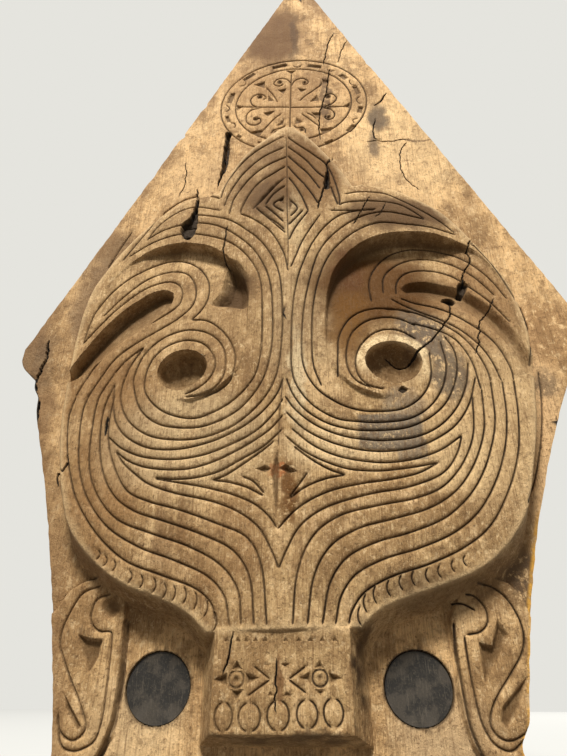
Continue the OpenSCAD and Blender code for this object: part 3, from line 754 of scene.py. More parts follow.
def mask_lines(cuts):
    """Adds the carved lines of the mask and the nicks round its chin."""
    for lines, hollow_lines, sweeps in ((LINES_LEFT, HOLLOW_LEFT, SWEEP_LEFT),
                                        (LINES_RIGHT, HOLLOW_RIGHT, SWEEP_RIGHT)):
        for line in lines:
            cuts.cartoon(line)
        for line in hollow_lines:
            cuts.cartoon(line, surface=socket_floor)
        for line in between(sweeps, 5):
            cuts.cartoon(line)
    for line in LINES_CROWN:
        cuts.cartoon(line, surface=mask_height, width=3.2, depth=2.4)
    cuts.cartoon(CROWN_DEEP, surface=mask_height, width=5.2, depth=4.2, taper=24)
    for line in NOSE_CREASE:
        cuts.cartoon(line, width=2.0, depth=1.2)
    bow = np.linspace(-1, 1, 7)
    for nicks, side in ((NICKS_LEFT, -1), (NICKS_RIGHT, 1)):
        for x, y in nicks:
            tall = 7.5 - 0.032 * abs(x - side * 55)
            nick = np.c_[x - side * (2.6 * (1 - bow ** 2) - 1), y + tall * bow]
            cuts.cartoon(nick, width=1.9, depth=1.8)


def neck_lines(cuts):
    """Adds the lines of the side panels and of the neck block."""
    for line in PANEL_LINES:
        cuts.add(on_panel(line), width=2.4, depth=2.2)
    for line, width, depth in PANEL_GAPS:
        cuts.add(line, width=width, depth=depth)
    for x, y, rx, ry in COLLAR_OVALS:
        for side in (-1, 1):
            cuts.add(ellipse(x, y, side * rx, ry, np.linspace(-1.38, 1.38, 11)), width=2.2, depth=1.6)
    for arrow in COLLAR_ARROWS:
        for start, end in zip(arrow, arrow[1:]):
            cuts.add([start, end], width=2.0, depth=1.7)


def medallion_lines(cuts):
    """Adds the medallion's rings, scrolls and the small marks between its rings."""
    x, y, *radii = RING
    for radius in radii:
        cuts.add(ellipse(x, y, radius, radius, np.linspace(-np.pi, np.pi, 60)), width=3.0, depth=2.3)
    for line in MEDAL_LINES:
        cuts.add(line, width=2.8, depth=2.2)
    for x, y, length in RING_MARKS:
        radial, along = ring_axes(x, y)
        a = np.linspace(-1, 1, 5)[:, None]
        mark = np.array([x, y]) + a * along * length / 2 + (a * a - 0.5) * radial * 5
        cuts.add(mark, width=2.2, depth=1.6)


def lay_out_cuts():
    """Collects every carved line and crack of the board."""
    cuts = Cuts()
    mask_lines(cuts)
    neck_lines(cuts)
    medallion_lines(cuts)
    for k, (line, width, depth) in enumerate(CRACKS):
        cuts.cartoon(line, width=width, depth=depth, kind=1, taper=9, jag=1.1, seed=k)
    for k, (line, width, depth) in enumerate(PLANK_CRACKS):
        cuts.add(line, width=width, depth=depth, kind=1, taper=14, jag=1.2, seed=20 + k)
    cuts.finish()
    return cuts


def lay_out_chips():
    """Outline and depth of every chiselled pocket and lost splinter, and whether the wood is lost."""
    chips = [(sight(outline, 38.0), depth, False) for outline, depth in PETALS]
    for outline, depth, level in PITS:
        ragged = closed(sight(outline, level), 1.5)
        x, y = ragged.T
        jag = 0.9 * noise(x, y, 2.6, 31) + 0.6 * noise(y, x, 6, 32)
        chips.append((ragged + jag[:, None] * np.array([1.0, 0.4]), depth, True))
    chips += [(on_panel(outline), depth, False) for outline, depth in PANEL_CHIPS]
    chips += [(np.array(outline, float), 3.2, False) for outline in COLLAR_CHIPS]
    chips += [(np.array([(x - 2.6, 30), (x + 2.6, 30), (x, 35)]), 1.8, False) for x in COLLAR_TEETH]
    for x, y, long, short in RING_CHIPS:
        radial, along = ring_axes(x, y)
        corners = ((-1, -0.9), (-0.94, 1), (0.96, 0.9), (1, -1))
        outline = [np.array([x, y]) + along * long / 2 * a + radial * short / 2 * b for a, b in corners]
        chips.append((np.array(outline), 2.8, False))
    chips += [(np.array(outline, float), 2.8, False) for outline in MEDAL_CHIPS]
    return chips


# ---------------------------------------------------------------- the board's mesh
# Inset and height of the points round each long edge of the plank
SIDE = [(0.35, -0.4), (0.0, -2.0), (0.0, -17.0), (0.0, -32.0), (1.2, -PLANK_T)]
BACK_COLUMNS = 40


def snap_to(outline, x, y, reach):
    """Moves the points within reach of an outline on to it, so that its edge is cut cleanly."""
    best, nx, ny = nearest_on(outline, x, y, reach)
    near = best < reach
    x[near], y[near] = nx[near], ny[near]


def cut_lines(h, x, y, cuts, index):
    """Cuts the lines and cracks, and returns how dark each kind leaves the wood."""
    groove, crack = np.zeros(x.shape), np.zeros(x.shape)
    hit = index >= 0
    line_x, line_y, tx, ty, width, depth, kind = cuts.data[index[hit]].T
    wx, wy = x[hit] - line_x, y[hit] - line_y
    along = wx * tx + wy * ty
    across = np.abs(wx * ty - wy * tx)
    away = np.hypot(across, np.clip(np.abs(along) - 0.4, 0, None))
    vee = np.clip(1 - away / (width / 2), 0, 1)
    pillow = 0.6 * np.clip(1 - (away - width / 2) / 3.4, 0, 1) ** 2 * (kind == 0)
    h[hit] -= depth * vee + pillow
    soft = np.clip(1.15 - away / (width / 2), 0, 1)
    groove[hit] = np.where(kind == 0, soft, 0) * np.clip(depth / 1.6, 0, 1)
    crack[hit] = np.where(kind == 1, vee, 0) * np.clip(depth / 2, 0, 1)
    return groove, crack


def cut_chips(h, x, y, chips, crack):
    """Cuts the chiselled pockets and lost splinters, and returns the shade painted in them."""
    chip = np.zeros(x.shape)
    for outline, depth, lost in chips:
        near = np.flatnonzero(close_to(outline, x, y, 0.5))
        d = np.clip(inside_distance(outline, x[near], y[near]), 0, None)
        deep = np.minimum(d * (3.5 if lost else 1.5), depth)
        if lost:
            deep = deep + 0.9 * noise(x[near], y[near], 2.4, 33) * (d > 1)
            darken(crack, near, 0.42 * np.clip(d / 1.2, 0, 1))
        h[near] -= deep
        # Painted shade in the chip, deeper where it is cut deeper
        darken(chip, near, np.clip(deep / min(depth, 2.2), 0, 1))
    return chip


def carve(x, y, cuts, chips, index):
    """Height of the finished surface, how dark each kind of cut leaves it, and the shade painted in its
    hollows.
    """
    h = relief(x, y)
    h = h + np.where(h < 0.5, face_swell(x, y), 0.35 * noise(x, y, 17, 13))
    h = np.minimum(h, TOP_H)
    hollow = hollows(h, x, y)
    groove, crack = cut_lines(h, x, y, cuts, index)
    chip = cut_chips(h, x, y, chips, crack)
    for side in (-1, 1):
        r = np.hypot(x - side * INLAY_X, y)
        h -= SOCKET_DEPTH * np.clip((SOCKET_R - r) / 0.5, 0, 1)
        groove = np.maximum(groove, np.clip(1 - np.abs(r - SOCKET_R) / 1.6, 0, 1) * (r > SOCKET_R - 0.6))
    for hole_x, hole_y in COLLAR_HOLES:
        r = np.hypot(x - hole_x, y - hole_y)
        from_ring = np.abs(r - COLLAR_RING_R)
        h -= 1.5 * np.clip(1 - from_ring / 1.2, 0, 1) + 1.6 * np.clip((2.6 - r) / 1.6, 0, 1)
        groove = np.maximum(groove, np.clip(1 - from_ring / 1.3, 0, 1))
        # Painted shade in the ringed hole
        hollow = np.maximum(hollow, 0.6 * np.clip((3.0 - r) / 1.6, 0, 1))
    for eye_x, eye_y, size in EYES_MEDAL:
        r = np.hypot(x - eye_x, y - eye_y)
        h -= 3.2 * np.clip((size - r) / 2.4, 0, 1)
        # Painted shade in the medallion's eye
        hollow = np.maximum(hollow, np.clip((size + 0.4 - r) / 2, 0, 1))
    hole_x, hole_y, size = PANEL_HOLE
    sunk = np.clip((size - np.hypot(x - hole_x, y - hole_y)) / 5, 0, 1)
    h -= 4.5 * sunk
    # Painted shade in the panel's round hollow
    hollow = np.maximum(hollow, 0.7 * sunk)
    # The chips' painted shade joins that of the other hollows
    return h, groove, crack, np.maximum(hollow, chip * 0.85)


def finished_mesh(bm, name):
    """Turns a bmesh into a mesh of the given name."""
    mesh = bpy.data.meshes.new(name)
    bm.to_mesh(mesh)
    bm.free()
    return mesh


def places(mesh):
    """Places of the mesh's vertices in metres."""
    place = np.empty(len(mesh.vertices) * 3, np.float32)
    mesh.vertices.foreach_get("co", place)
    return place.reshape(-1, 3)


def set_places(mesh, place):
    """Moves the mesh's vertices to new places in metres."""
    mesh.vertices.foreach_set("co", place.astype(np.float32).ravel())
    mesh.update()


def board_rows(pitch):
    """Heights of the mesh's rows, close together where there is carving."""
    low = np.arange(CUT_Y, FINE_LOW_Y, 2 * pitch)
    carved = np.arange(FINE_LOW_Y, FINE_HIGH_Y, pitch)
    high = np.arange(FINE_HIGH_Y, PEAK_Y - pitch, 2.5 * pitch)
    return np.concatenate([low, carved, high, [PEAK_Y]])


def cross_section(column, y, fronts, rings):
    """x and h of points round the plank's bare cross-section: front, right side, back, left side."""
    left, right = plank_edges(y)
    x = np.zeros(len(y))
    h = np.zeros(len(y))
    front = column <= fronts
    lip = np.minimum(1.6, (right - left) / 2)
    x[front] = (left + lip + (right - left - 2 * lip) * (column / fronts))[front]
    for k, (inset, height) in enumerate(SIDE):
        here = column == fronts + 1 + k
        x[here] = np.maximum(right - inset, (left + right) / 2)[here]
        h[here] = height
        here = column == rings - 1 - k
        x[here] = np.minimum(left + inset, (left + right) / 2)[here]
        h[here] = height
    back = (column > fronts + len(SIDE)) & (column < rings - len(SIDE))
    share = (column - fronts - len(SIDE)) / BACK_COLUMNS
    slim = np.minimum(1.2, (right - left) / 2)
    x[back] = (right - slim - (right - left - 2 * slim) * share)[back]
    h[back] = -PLANK_T
    return x, h, front, back


def fit_to_cuts(x, y, cuts, pitch):
    """Moves points of the front on to edges and lines close by, and returns their nearest samples."""
    left, right, bottom, top = COLLAR
    collar = np.array([(left, top + 0.5), (left, bottom), (right, bottom), (right, top + 0.5)])
    for outline in (MASK, ARCH_LEFT, ARCH_RIGHT, collar):
        snap_to(outline, x, y, 0.5 * pitch)
    turn = np.linspace(0, 2 * np.pi, 80)[:-1]
    for side in (-1, 1):
        for radius in (SOCKET_R, SOCKET_R - 0.5):
            snap_to(ellipse(side * INLAY_X, 0, radius, radius, turn), x, y, 0.25)
    index = cuts.nearest(x, y)
    sample = cuts.data[index]
    close = (index >= 0) & (np.hypot(x - sample[:, 0], y - sample[:, 1]) < 0.55 * pitch)
    x[close], y[close] = sample[close, 0], sample[close, 1]
    return index


def board_mesh(settings, cuts, chips):
    """Wraps a grid round the plank's cross-sections and carves its front."""
    pitch = settings.pitch / MM
    rows = board_rows(pitch)
    last = len(rows) - 1
    fronts = int((RIGHT_X - LEFT_X) / pitch)
    rings = fronts + BACK_COLUMNS + 2 * len(SIDE)
    bm = bmesh.new()
    bmesh.ops.create_grid(bm, x_segments=rings, y_segments=last, size=1.0)
    mesh = finished_mesh(bm, "carved_board")
    place = places(mesh)
    column = np.rint((place[:, 0] + 1) / 2 * rings).astype(int) % rings
    row = np.rint((place[:, 1] + 1) / 2 * last).astype(int)
    y = rows[row]
    x, h, front, back = cross_section(column, y, fronts, rings)

    inner = front & (column > 0) & (column < fronts) & (row > 0) & (row < last) & (y < FINE_HIGH_Y)
    carved_x, carved_y = x[inner], y[inner]
    index = fit_to_cuts(carved_x, carved_y, cuts, pitch)
    x[inner], y[inner] = carved_x, carved_y
    h[inner] = carve(carved_x, carved_y, cuts, chips, index)[0]
    rest = front & ~inner
    h[rest] = face_swell(x[rest], y[rest]) * np.clip((PEAK_Y - y[rest]) / 40, 0, 1)
    scoop = 0.4 + 0.4 * noise(x, y, 42, 14)
    h[back] += np.clip(scoop, 0, 1)[back] * np.clip((PEAK_Y - y[back]) / 60, 0, 1)
    set_places(mesh, np.c_[x * MM, -(PLANK_T + h) * MM, (y + Y0) * MM])
    close_board(mesh)
    return mesh


def close_board(mesh):
    """Welds the seam and the peak, and fills the sawn end."""
    bm = bmesh.new()
    bm.from_mesh(mesh)
    bmesh.ops.remove_doubles(bm, verts=bm.verts, dist=1e-5)
    bmesh.ops.dissolve_degenerate(bm, edges=bm.edges, dist=1e-6)
    open_edges = [e for e in bm.edges if e.is_boundary]
    filled = bmesh.ops.holes_fill(bm, edges=open_edges, sides=0)["faces"]
    bmesh.ops.triangulate(bm, faces=filled)
    bmesh.ops.recalc_face_normals(bm, faces=bm.faces)
    bm.to_mesh(mesh)
    bm.free()


def thin_out(piece, most):
    """Leaves flat wood few triangles and carved wood many, and keeps them inside the CAD box."""
    count = sum(len(p.vertices) - 2 for p in piece.data.polygons)
    if count > most:
        modifier = piece.modifiers.new("Thin", "DECIMATE")
        modifier.ratio = most / count
        bpy.context.view_layer.update()
        graph = bpy.context.evaluated_depsgraph_get()
        mesh = bpy.data.meshes.new_from_object(piece.evaluated_get(graph))
        piece.modifiers.clear()
        old = piece.data
        piece.data = mesh
        bpy.data.meshes.remove(old)
        mesh.name = piece.name
    set_places(piece.data, np.clip(places(piece.data), np.array(CAD_LOW), np.array(CAD_HIGH)))


def mark_surface(mesh, cuts, chips):
    """Stores at each vertex how far a tool or age has darkened the wood there, and how much shade is painted
    in its hollows and round the mask's foot.
    """
    place = places(mesh).astype(float) / MM
    x, y, h = place[:, 0], place[:, 2] - Y0, -place[:, 1] - PLANK_T
    face = h > -12
    index = np.full(x.shape, -1)
    index[face] = cuts.nearest(x[face], y[face])
    _, groove, crack, hollow = carve(x, y, cuts, chips, index)
    d = inside_distance(MASK, x, y)
    left, right = plank_edges(y)
    marks = {
        "front": np.ones(x.shape),
        "groove": groove,
        "crack": crack,
        # painted shade in the hollows
        "hollow": hollow,
        # painted shade on the plank round the mask's foot, fading with distance and with height
        "foot": np.exp(-np.clip(-d, 0, None) / 16) * (d < 0) * np.clip(1 - h / 45, 0, 1),
        "worn": np.clip(1 - np.abs(d - 1.5) / 3.5, 0, 1),
        "edge": np.clip(1 - np.minimum(x - left, right - x) / 26, 0, 1),
        "plank": np.clip(1 - h / 14, 0, 1) * (d < 0),
    }
    for name, value in marks.items():
        layer = mesh.attributes.new(name, "FLOAT", "POINT")
        layer.data.foreach_set("value", np.where(face, value, 0).astype(np.float32))


# ---------------------------------------------------------------- shader maths
class Term:
    """A number that varies over a surface. Arithmetic on it adds Math nodes."""

    def __init__(self, maker, socket):
        self.maker = maker
        self.socket = socket

    def _math(self, operation, *values):
        node = self.maker.node("ShaderNodeMath", {"operation": operation}, dict(enumerate(values)))
        return Term(self.maker, node.outputs[0])

    def __add__(self, other):
        return self._math("ADD", self, other)

    __radd__ = __add__

    def __sub__(self, other):
        return self._math("SUBTRACT", self, other)

    def __rsub__(self, other):
        return self._math("SUBTRACT", other, self)

    def __mul__(self, other):
        return self._math("MULTIPLY", self, other)

    __rmul__ = __mul__

    def __truediv__(self, other):
        return self._math("DIVIDE", self, other)

    def most(self, other):
        """The larger of the two."""
        return self._math("MAXIMUM", self, other)

    def ramp(self, low, high):
        """Smooth rise from 0 at low to 1 at high."""
        node = self.maker.node("ShaderNodeMapRange", {"interpolation_type": "SMOOTHSTEP"},
                               {"Value": self, "From Min": low, "From Max": high})
        return Term(self.maker, node.outputs["Result"])


class Maker:
    """Builds the nodes of one material or of the world."""

    def __init__(self, owner):
        owner.use_nodes = True
        self.owner = owner
        self.tree = owner.node_tree
        self.tree.nodes.clear()

    def node(self, kind, settings=None, values=None):
        """Adds a node, with its settings first and then the values or links of its sockets."""
        node = self.tree.nodes.new(kind)
        for key, value in (settings or {}).items():
            setattr(node, key, value)
        for key, value in (values or {}).items():
            socket = node.inputs[key]
            if isinstance(value, Term):
                value = value.socket
            if isinstance(value, bpy.types.NodeSocket):
                self.tree.links.new(value, socket)
            else:
                socket.default_value = value
        return node

    def term(self, socket):
        return Term(self, socket)

    def attribute(self, name):
        return self.term(self.node("ShaderNodeAttribute", {"attribute_name": name}).outputs["Fac"])

    def object_place(self):
        return self.node("ShaderNodeTexCoord").outputs["Object"]

    def noise(self, vector, detail, rough):
        node = self.node("ShaderNodeTexNoise", {"noise_dimensions": "3D"},
                         {"Vector": vector, "Scale": 1.0, "Detail": detail, "Roughness": rough})
        return self.term(node.outputs["Fac"])

    def scaled(self, vector, x, y, z, shift=0.0):
        """Coordinates in which a pattern of size 1 is x, y and z millimetres large."""
        node = self.node("ShaderNodeMapping", {"vector_type": "POINT"},
                         {"Vector": vector, "Scale": (1000 / x, 1000 / y, 1000 / z),
                          "Location": (shift, 0, 0)})
        return node.outputs[0]

    def mix(self, share, a, b):
        """Colour a with a share of colour b."""
        a, b = (c if isinstance(c, bpy.types.NodeSocket) else (*c, 1.0) for c in (a, b))
        node = self.node("ShaderNodeMix", {"data_type": "RGBA", "clamp_factor": True},
                         {"Factor": share, 6: a, 7: b})
        return node.outputs[2]

    def over(self, base, layers):
        """The base colour with others laid over it in turn, each with its share."""
        for share, colour in layers:
            base = self.mix(share, base, tone(*colour))
        return base

    def bump(self, height, strength, distance):
        values = {"Height": height, "Strength": strength, "Distance": distance}
        return self.node("ShaderNodeBump", {}, values).outputs[0]

    def surface(self, colour, roughness, normal, constants):
        values = {"Base Color": colour, "Roughness": roughness, "Normal": normal, **constants}
        shader = self.node("ShaderNodeBsdfPrincipled", {}, values)
        self.node("ShaderNodeOutputMaterial", {}, {"Surface": shader.outputs[0]})
        return self.owner

    def either(self, share, a, b):
        """Shader a with a share of shader b."""
        return self.node("ShaderNodeMixShader", {}, {0: share, 1: a.outputs[0], 2: b.outputs[0]})

    def seen_directly(self):
        """1 for rays that show a surface itself or its mirror image, 0 for rays that light the object."""
        rays = self.node("ShaderNodeLightPath").outputs
        mirrored = self.term(rays["Is Glossy Ray"]).most(self.term(rays["Is Transmission Ray"]))
        return self.term(rays["Is Camera Ray"]).most(mirrored)


def tone(*colour):
    """A colour given as it looks, from 0 to 255, as the light it reflects."""
    out = []
    for c in colour:
        c = c / 255
        out.append(c / 12.92 if c <= 0.04045 else ((c + 0.055) / 1.055) ** 2.4)
    return tuple(out)


# Stains and patches of painted shade: centre, half width and half height on the board, strength, how the
# edge breaks up, colour
PLANK_STAINS = [
    ((-24, 936), (66, 104), 1.1, "soft", (104, 73, 40)),
    ((12, 930), (10, 78), 0.8, "soft", (80, 57, 33)),
    ((-60, 800), (40, 60), 0.4, "clouds", (160, 122, 78)),
    ((160, 640), (90, 130), 0.45, "clouds", (240, 205, 152)),
    ((235, 250), (46, 150), 0.7, "clouds", (236, 195, 142)),
    ((278, 330), (40, 50), 0.7, "flakes", (150, 112, 70)),
    ((-120, 600), (60, 60), 0.45, "clouds", (228, 190, 138)),
    ((-215, 470), (34, 50), 0.7, "clouds", (116, 92, 64)),
    ((-288, 312), (34, 66), 0.9, "soft", (96, 76, 56)),
    ((-232, 400), (30, 76), 0.75, "clouds", (122, 98, 72)),
    ((-262, 250), (20, 40), 0.6, "clouds", (118, 88, 58)),
    ((-250, 120), (34, 90), 0.35, "flakes", (140, 106, 68)),
    ((259, 267), (17, 19), 0.85, "flakes", (132, 110, 82)),
    ((232, 300), (8, 9), 0.8, "flakes", (124, 100, 72)),
    ((206, 76), (34, 32), 0.9, "flakes", (72, 58, 44)),
    ((10, 756), (122, 100), 0.4, "soft", (156, 118, 74)),
    ((58, 755), (9, 66), 0.75, "flakes", (84, 64, 46)),
    ((131, 704), (14, 36), 0.95, "soft", (80, 67, 54)),
    ((120, 650), (10, 32), 0.85, "soft", (92, 76, 60)),
    ((172, 654), (32, 4), 0.8, "flakes", (96, 72, 46)),
    ((-120, -20), (50, 40), 0.5, "clouds", (232, 200, 152)),
    ((120, -30), (46, 40), 0.5, "clouds", (214, 184, 142)),
]
MASK_STAINS_AND_SHADE = [
    ((-185, 190), (80, 180), 0.6, "clouds", (136, 98, 56)),
    ((-95, 200), (95, 62), 0.5, "clouds", (198, 172, 130)),
    ((190, 250), (60, 150), 0.35, "clouds", (222, 188, 138)),
    ((20, 330), (45, 110), 0.35, "clouds", (184, 158, 118)),
    ((-120, 470), (90, 30), 0.45, "clouds", (136, 106, 68)),
    ((140, 484), (84, 34), 1.1, "soft", (92, 66, 36)),
    ((200, 350), (46, 70), 0.6, "clouds", (140, 102, 60)),
    ((-30, 550), (44, 76), 0.85, "clouds", (112, 82, 48)),
    ((-14, 508), (36, 40), 0.8, "soft", (88, 63, 35)),
    # painted shade on the crown's right facet, turned from the light
    ((34, 556), (46, 84), 1.0, "soft", (112, 78, 38)),
    # painted shade in the right socket under its arch, on the walls turned from the light
    ((98, 380), (86, 68), 1.15, "soft", (84, 51, 4)),
    ((66, 328), (28, 52), 1.0, "soft", (102, 65, 12)),
    ((70, 398), (20, 30), 0.6, "flakes", (84, 46, 14)),
    ((175, 350), (40, 16), 0.5, "soft", (120, 82, 42)),
    ((52, 190), (60, 26), 0.8, "flakes", (226, 196, 148)),
    ((150, 180), (46, 40), 0.55, "flakes", (222, 190, 140)),
    ((143, 312), (30, 38), 0.95, "flakes", (104, 90, 74)),
    ((160, 268), (20, 40), 0.9, "flakes", (110, 96, 78)),
    ((112, 226), (26, 22), 0.75, "flakes", (136, 120, 98)),
    ((98, 203), (29, 17), 0.95, "square", (118, 104, 86)),
    ((116, 186), (14, 10), 0.8, "square", (126, 110, 90)),
    ((-98, 128), (16, 66), 0.55, "streaks", (104, 72, 40)),
    ((-60, 100), (50, 50), 0.35, "clouds", (136, 98, 58)),
    ((6, 146), (9, 32), 0.9, "flakes", (98, 60, 16)),
    ((-5, 166), (9, 7), 0.8, "flakes", (176, 104, 56)),
    ((14, 262), (10, 66), 0.6, "flakes", (226, 204, 162)),
    ((14, 470), (12, 60), 0.4, "flakes", (206, 182, 138)),
    # painted shade on the mask's lower right wall, which faces down
    ((135, 66), (64, 22), 0.6, "soft", (64, 45, 23)),
    # painted shade in the pocket beside the left eye
    ((-48, 372), (20, 36), 0.95, "soft", (82, 56, 28)),
    ((-95, 350), (90, 60), 0.45, "clouds", (144, 112, 72)),
    # painted shade on the neck block's right wall and on its lower wall
    ((62, 8), (10, 48), 1.1, "soft", (54, 36, 16)),
    ((0, -38), (70, 8), 0.85, "soft", (66, 47, 27)),
    ((-3, 4), (3, 24), 0.7, "clouds", (110, 72, 38)),
]


def spot(axes, centre, size, square=False):
    """Patch of a stain or of painted shade, 1 at its centre and 0 at its edge."""
    dx = (axes[0] - centre[0]) / size[0]
    dy = (axes[1] - centre[1]) / size[1]
    if square:
        return 1 - (dx * dx).most(dy * dy).ramp(0.85, 1.15)
    return 1 - (dx * dx + dy * dy).ramp(0.2, 1.15)


def aged_wood(settings):
    """Old weathered hardwood: streaky grain, mottled skin, dark carved lines and cracks, painted shade in
    the hollows, round the mask's foot and on walls turned from the light, stained patches and worn edges.
    """
    m = Maker(bpy.data.materials.new("aged_wood"))
    here = m.object_place()
    grain = m.noise(m.scaled(here, 1.7, 2.4, 60), 4, 0.65)
    fibre = m.noise(m.scaled(here, 0.9, 1.0, 9, 3.7), 3, 0.6)
    broad = m.noise(m.scaled(here, 15, 20, 150, 1.3), 4, 0.6)
    patch = m.noise(m.scaled(here, 66, 66, 84, 5.1), 6, 0.62)
    blotch = m.noise(m.scaled(here, 21, 21, 27, 8.3), 6, 0.68)
    flake = m.noise(m.scaled(here, 6.5, 6.5, 8, 9.4), 6, 0.72)
    speck = m.noise(m.scaled(here, 2.6, 2.6, 3.2, 2.2), 4, 0.7)
    sway = m.noise(m.scaled(here, 26, 26, 26, 6.6), 4, 0.6) - 0.5
    bend = m.noise(m.scaled(here, 26, 26, 26, 13.9), 4, 0.6) - 0.5
    split = m.node("ShaderNodeSeparateXYZ", {}, {"Vector": here})
    across, up = m.term(split.outputs["X"]) * 1000, m.term(split.outputs["Z"]) * 1000 - Y0
    axes = across + sway * 34, up + bend * 34
    steady = across + sway * 5, up + bend * 5
    x, y = steady
    groove, crack, hollow, foot = (m.attribute(name) for name in ("groove", "crack", "hollow", "foot"))
    worn, edge, plank, front = (m.attribute(name) for name in ("worn", "edge", "plank", "front"))

    base = m.over(m.mix(plank, settings.mask, settings.plank), (
        ((1 - front) * 0.75, (150, 118, 80)),
        (broad.ramp(0.42, 0.62) * 0.4, (150, 116, 74)),
        (patch.ramp(0.46, 0.60) * 0.6, (136, 103, 64)),
        ((1 - patch.ramp(0.34, 0.46)) * 0.5, (218, 182, 132)),
        (blotch.ramp(0.49, 0.60) * 0.55, (120, 90, 55)),
        ((1 - blotch.ramp(0.36, 0.46)) * 0.45, (226, 190, 140)),
        ((1 - fibre.ramp(0.34, 0.45)) * 0.25, (232, 198, 148)),
        ((1 - flake.ramp(0.36, 0.45)) * 0.45, (240, 208, 158)),
        ((1 - speck.ramp(0.33, 0.42)) * 0.35, (240, 212, 166)),
    ))
    edges = {"soft": 0.8 + 0.2 * blotch, "clouds": patch.ramp(0.22, 0.5), "flakes": flake.ramp(0.36, 0.5),
             "streaks": broad.ramp(0.34, 0.52), "square": speck.ramp(0.28, 0.5)}
    # Stains, and on the mask also patches of painted shade
    for stains_and_shade, cover in ((PLANK_STAINS, plank * front), (MASK_STAINS_AND_SHADE, (1 - plank) * front)):
        for centre, size, strength, breaks, colour in stains_and_shade:
            square = breaks == "square"
            share = spot(steady if square else axes, centre, size, square) * (edges[breaks] * cover)
            base = m.mix(share * strength, base, tone(*colour))

    eye_x = (x - EYE_RIGHT[0]) / 37
    eye_y = (y - EYE_RIGHT[1]) / 34
    ring = eye_x * eye_x + eye_y * eye_y
    rim = ring.ramp(0.48, 0.58) * (1 - ring.ramp(0.85, 1.1)) * (y + x * 0.2).ramp(272, 294)
    chalk = rim * front * flake.ramp(0.38, 0.54) * (0.4 + 0.6 * speck.ramp(0.36, 0.5))
    grimy = edge.ramp(0.1, 0.9) * patch.ramp(0.28, 0.6) * (1 - x.ramp(60, 160) * 0.9) * front
    splinter = edge.ramp(0.8, 0.95) * x.ramp(150, 170) * (1 - y.ramp(110, 150)) * flake.ramp(0.35, 0.55)
    base = m.over(base, (
        (grain.ramp(0.50, 0.66) * 0.42, (112, 82, 50)),
        (fibre.ramp(0.52, 0.66) * 0.3, (104, 76, 46)),
        (flake.ramp(0.53, 0.64) * 0.5, (104, 75, 45)),
        (speck.ramp(0.57, 0.66) * 0.6, (84, 60, 36)),
        (chalk * 0.9, (232, 204, 156)),
        (grimy * 0.55, (130, 98, 64)),
        (splinter * 0.9, (226, 170, 74)),
        (worn * flake.ramp(0.3, 0.55) * 0.5, (232, 200, 150)),
    ))
    # Painted shade round the mask's foot, weaker on the far right
    base = m.mix(foot * 0.62 * (1 - x.ramp(150, 230) * 0.6), base, settings.painted_shade)
    faint = 0.3 * patch.ramp(0.42, 0.6) + 0.25 * (1 - x.ramp(-60, 60))
    base = m.over(base, (
        # painted shade in the hollows, then the dark carved lines and cracks
        (hollow * 0.88, (76, 53, 26)),
        (groove.ramp(0.1, 0.8) * (0.98 - faint), (46, 31, 16)),
        (crack.ramp(0.05, 0.55), (27, 20, 12)),
    ))
    skin = m.bump(grain * 0.35 + fibre * 0.3 + speck * 0.55 + flake * 0.7, 1.0, 0.0022)
    rough = 0.66 + 0.2 * grain - 0.1 * worn
    return m.surface(base, rough, skin, {"IOR": 1.42, "Specular IOR Level": 0.28})


def dark_inlay(settings):
    """Charcoal inlay, rubbed and lightly scratched."""
    m = Maker(bpy.data.materials.new("dark_inlay"))
    here = m.object_place()
    cloud = m.noise(m.scaled(here, 14, 14, 14), 4, 0.6)
    dust = m.noise(m.scaled(here, 1.6, 1.6, 1.6, 4.0), 3, 0.7)
    turned = m.node("ShaderNodeMapping", {"vector_type": "POINT"},
                    {"Vector": here, "Rotation": (0, 0.6, 0), "Scale": (900, 200, 110)})
    scratch = m.noise(turned.outputs[0], 3, 0.65)
    base = m.over(settings.stone, (
        (cloud.ramp(0.44, 0.60), (64, 58, 50)),
        (dust.ramp(0.52, 0.68) * 0.5, (86, 78, 64)),
        (scratch.ramp(0.56, 0.68) * 0.35, (98, 90, 78)),
    ))
    skin = m.bump(dust + scratch, 0.5, 0.0006)
    return m.surface(base, 0.6 + 0.2 * cloud, skin, {"Specular IOR Level": 0.3})


def studio_floor_paint(settings):
    """Pale floor that throws little light back up under the carving."""
    m = Maker(bpy.data.materials.new("studio_floor"))
    lit = m.node("ShaderNodeBsdfDiffuse", {}, {"Color": (*settings.backdrop, 1)})
    glow = m.node("ShaderNodeEmission", {}, {"Color": (*settings.backdrop, 1), "Strength": 1.0})
    dull = m.node("ShaderNodeBsdfDiffuse", {}, {"Color": (0.16, 0.15, 0.14, 1)})
    floor = m.either(m.seen_directly(), dull, m.either(0.8, lit, glow))
    m.node("ShaderNodeOutputMaterial", {}, {"Surface": floor.outputs[0]})
    return m.owner


def studio_air(settings):
    """World that shows the plain backdrop and lights the object evenly from all round."""
    m = Maker(bpy.data.worlds.new("studio"))
    plain = m.node("ShaderNodeBackground", {}, {"Color": (*settings.backdrop, 1), "Strength": 1.0})
    light = m.node("ShaderNodeBackground", {}, {"Color": (1, 0.98, 0.95, 1), "Strength": settings.ambient})
    air = m.either(m.seen_directly(), light, plain)
    m.node("ShaderNodeOutputWorld", {}, {"Surface": air.outputs[0]})
    return m.owner


# ---------------------------------------------------------------- settings
def colour_setting(name, description, colour):
    """A property for a colour that the user may change."""
    return bpy.props.FloatVectorProperty(name=name, description=description, default=tone(*colour), size=3,
                                         min=0.0, max=1.0, subtype="COLOR")


def length_setting(name, description, default, low, high, precision=5):
    """A property for a length in metres that the user may change."""
    return bpy.props.FloatProperty(name=name, description=description, default=default, min=low, max=high,
                                   precision=precision, subtype="DISTANCE", unit="LENGTH")


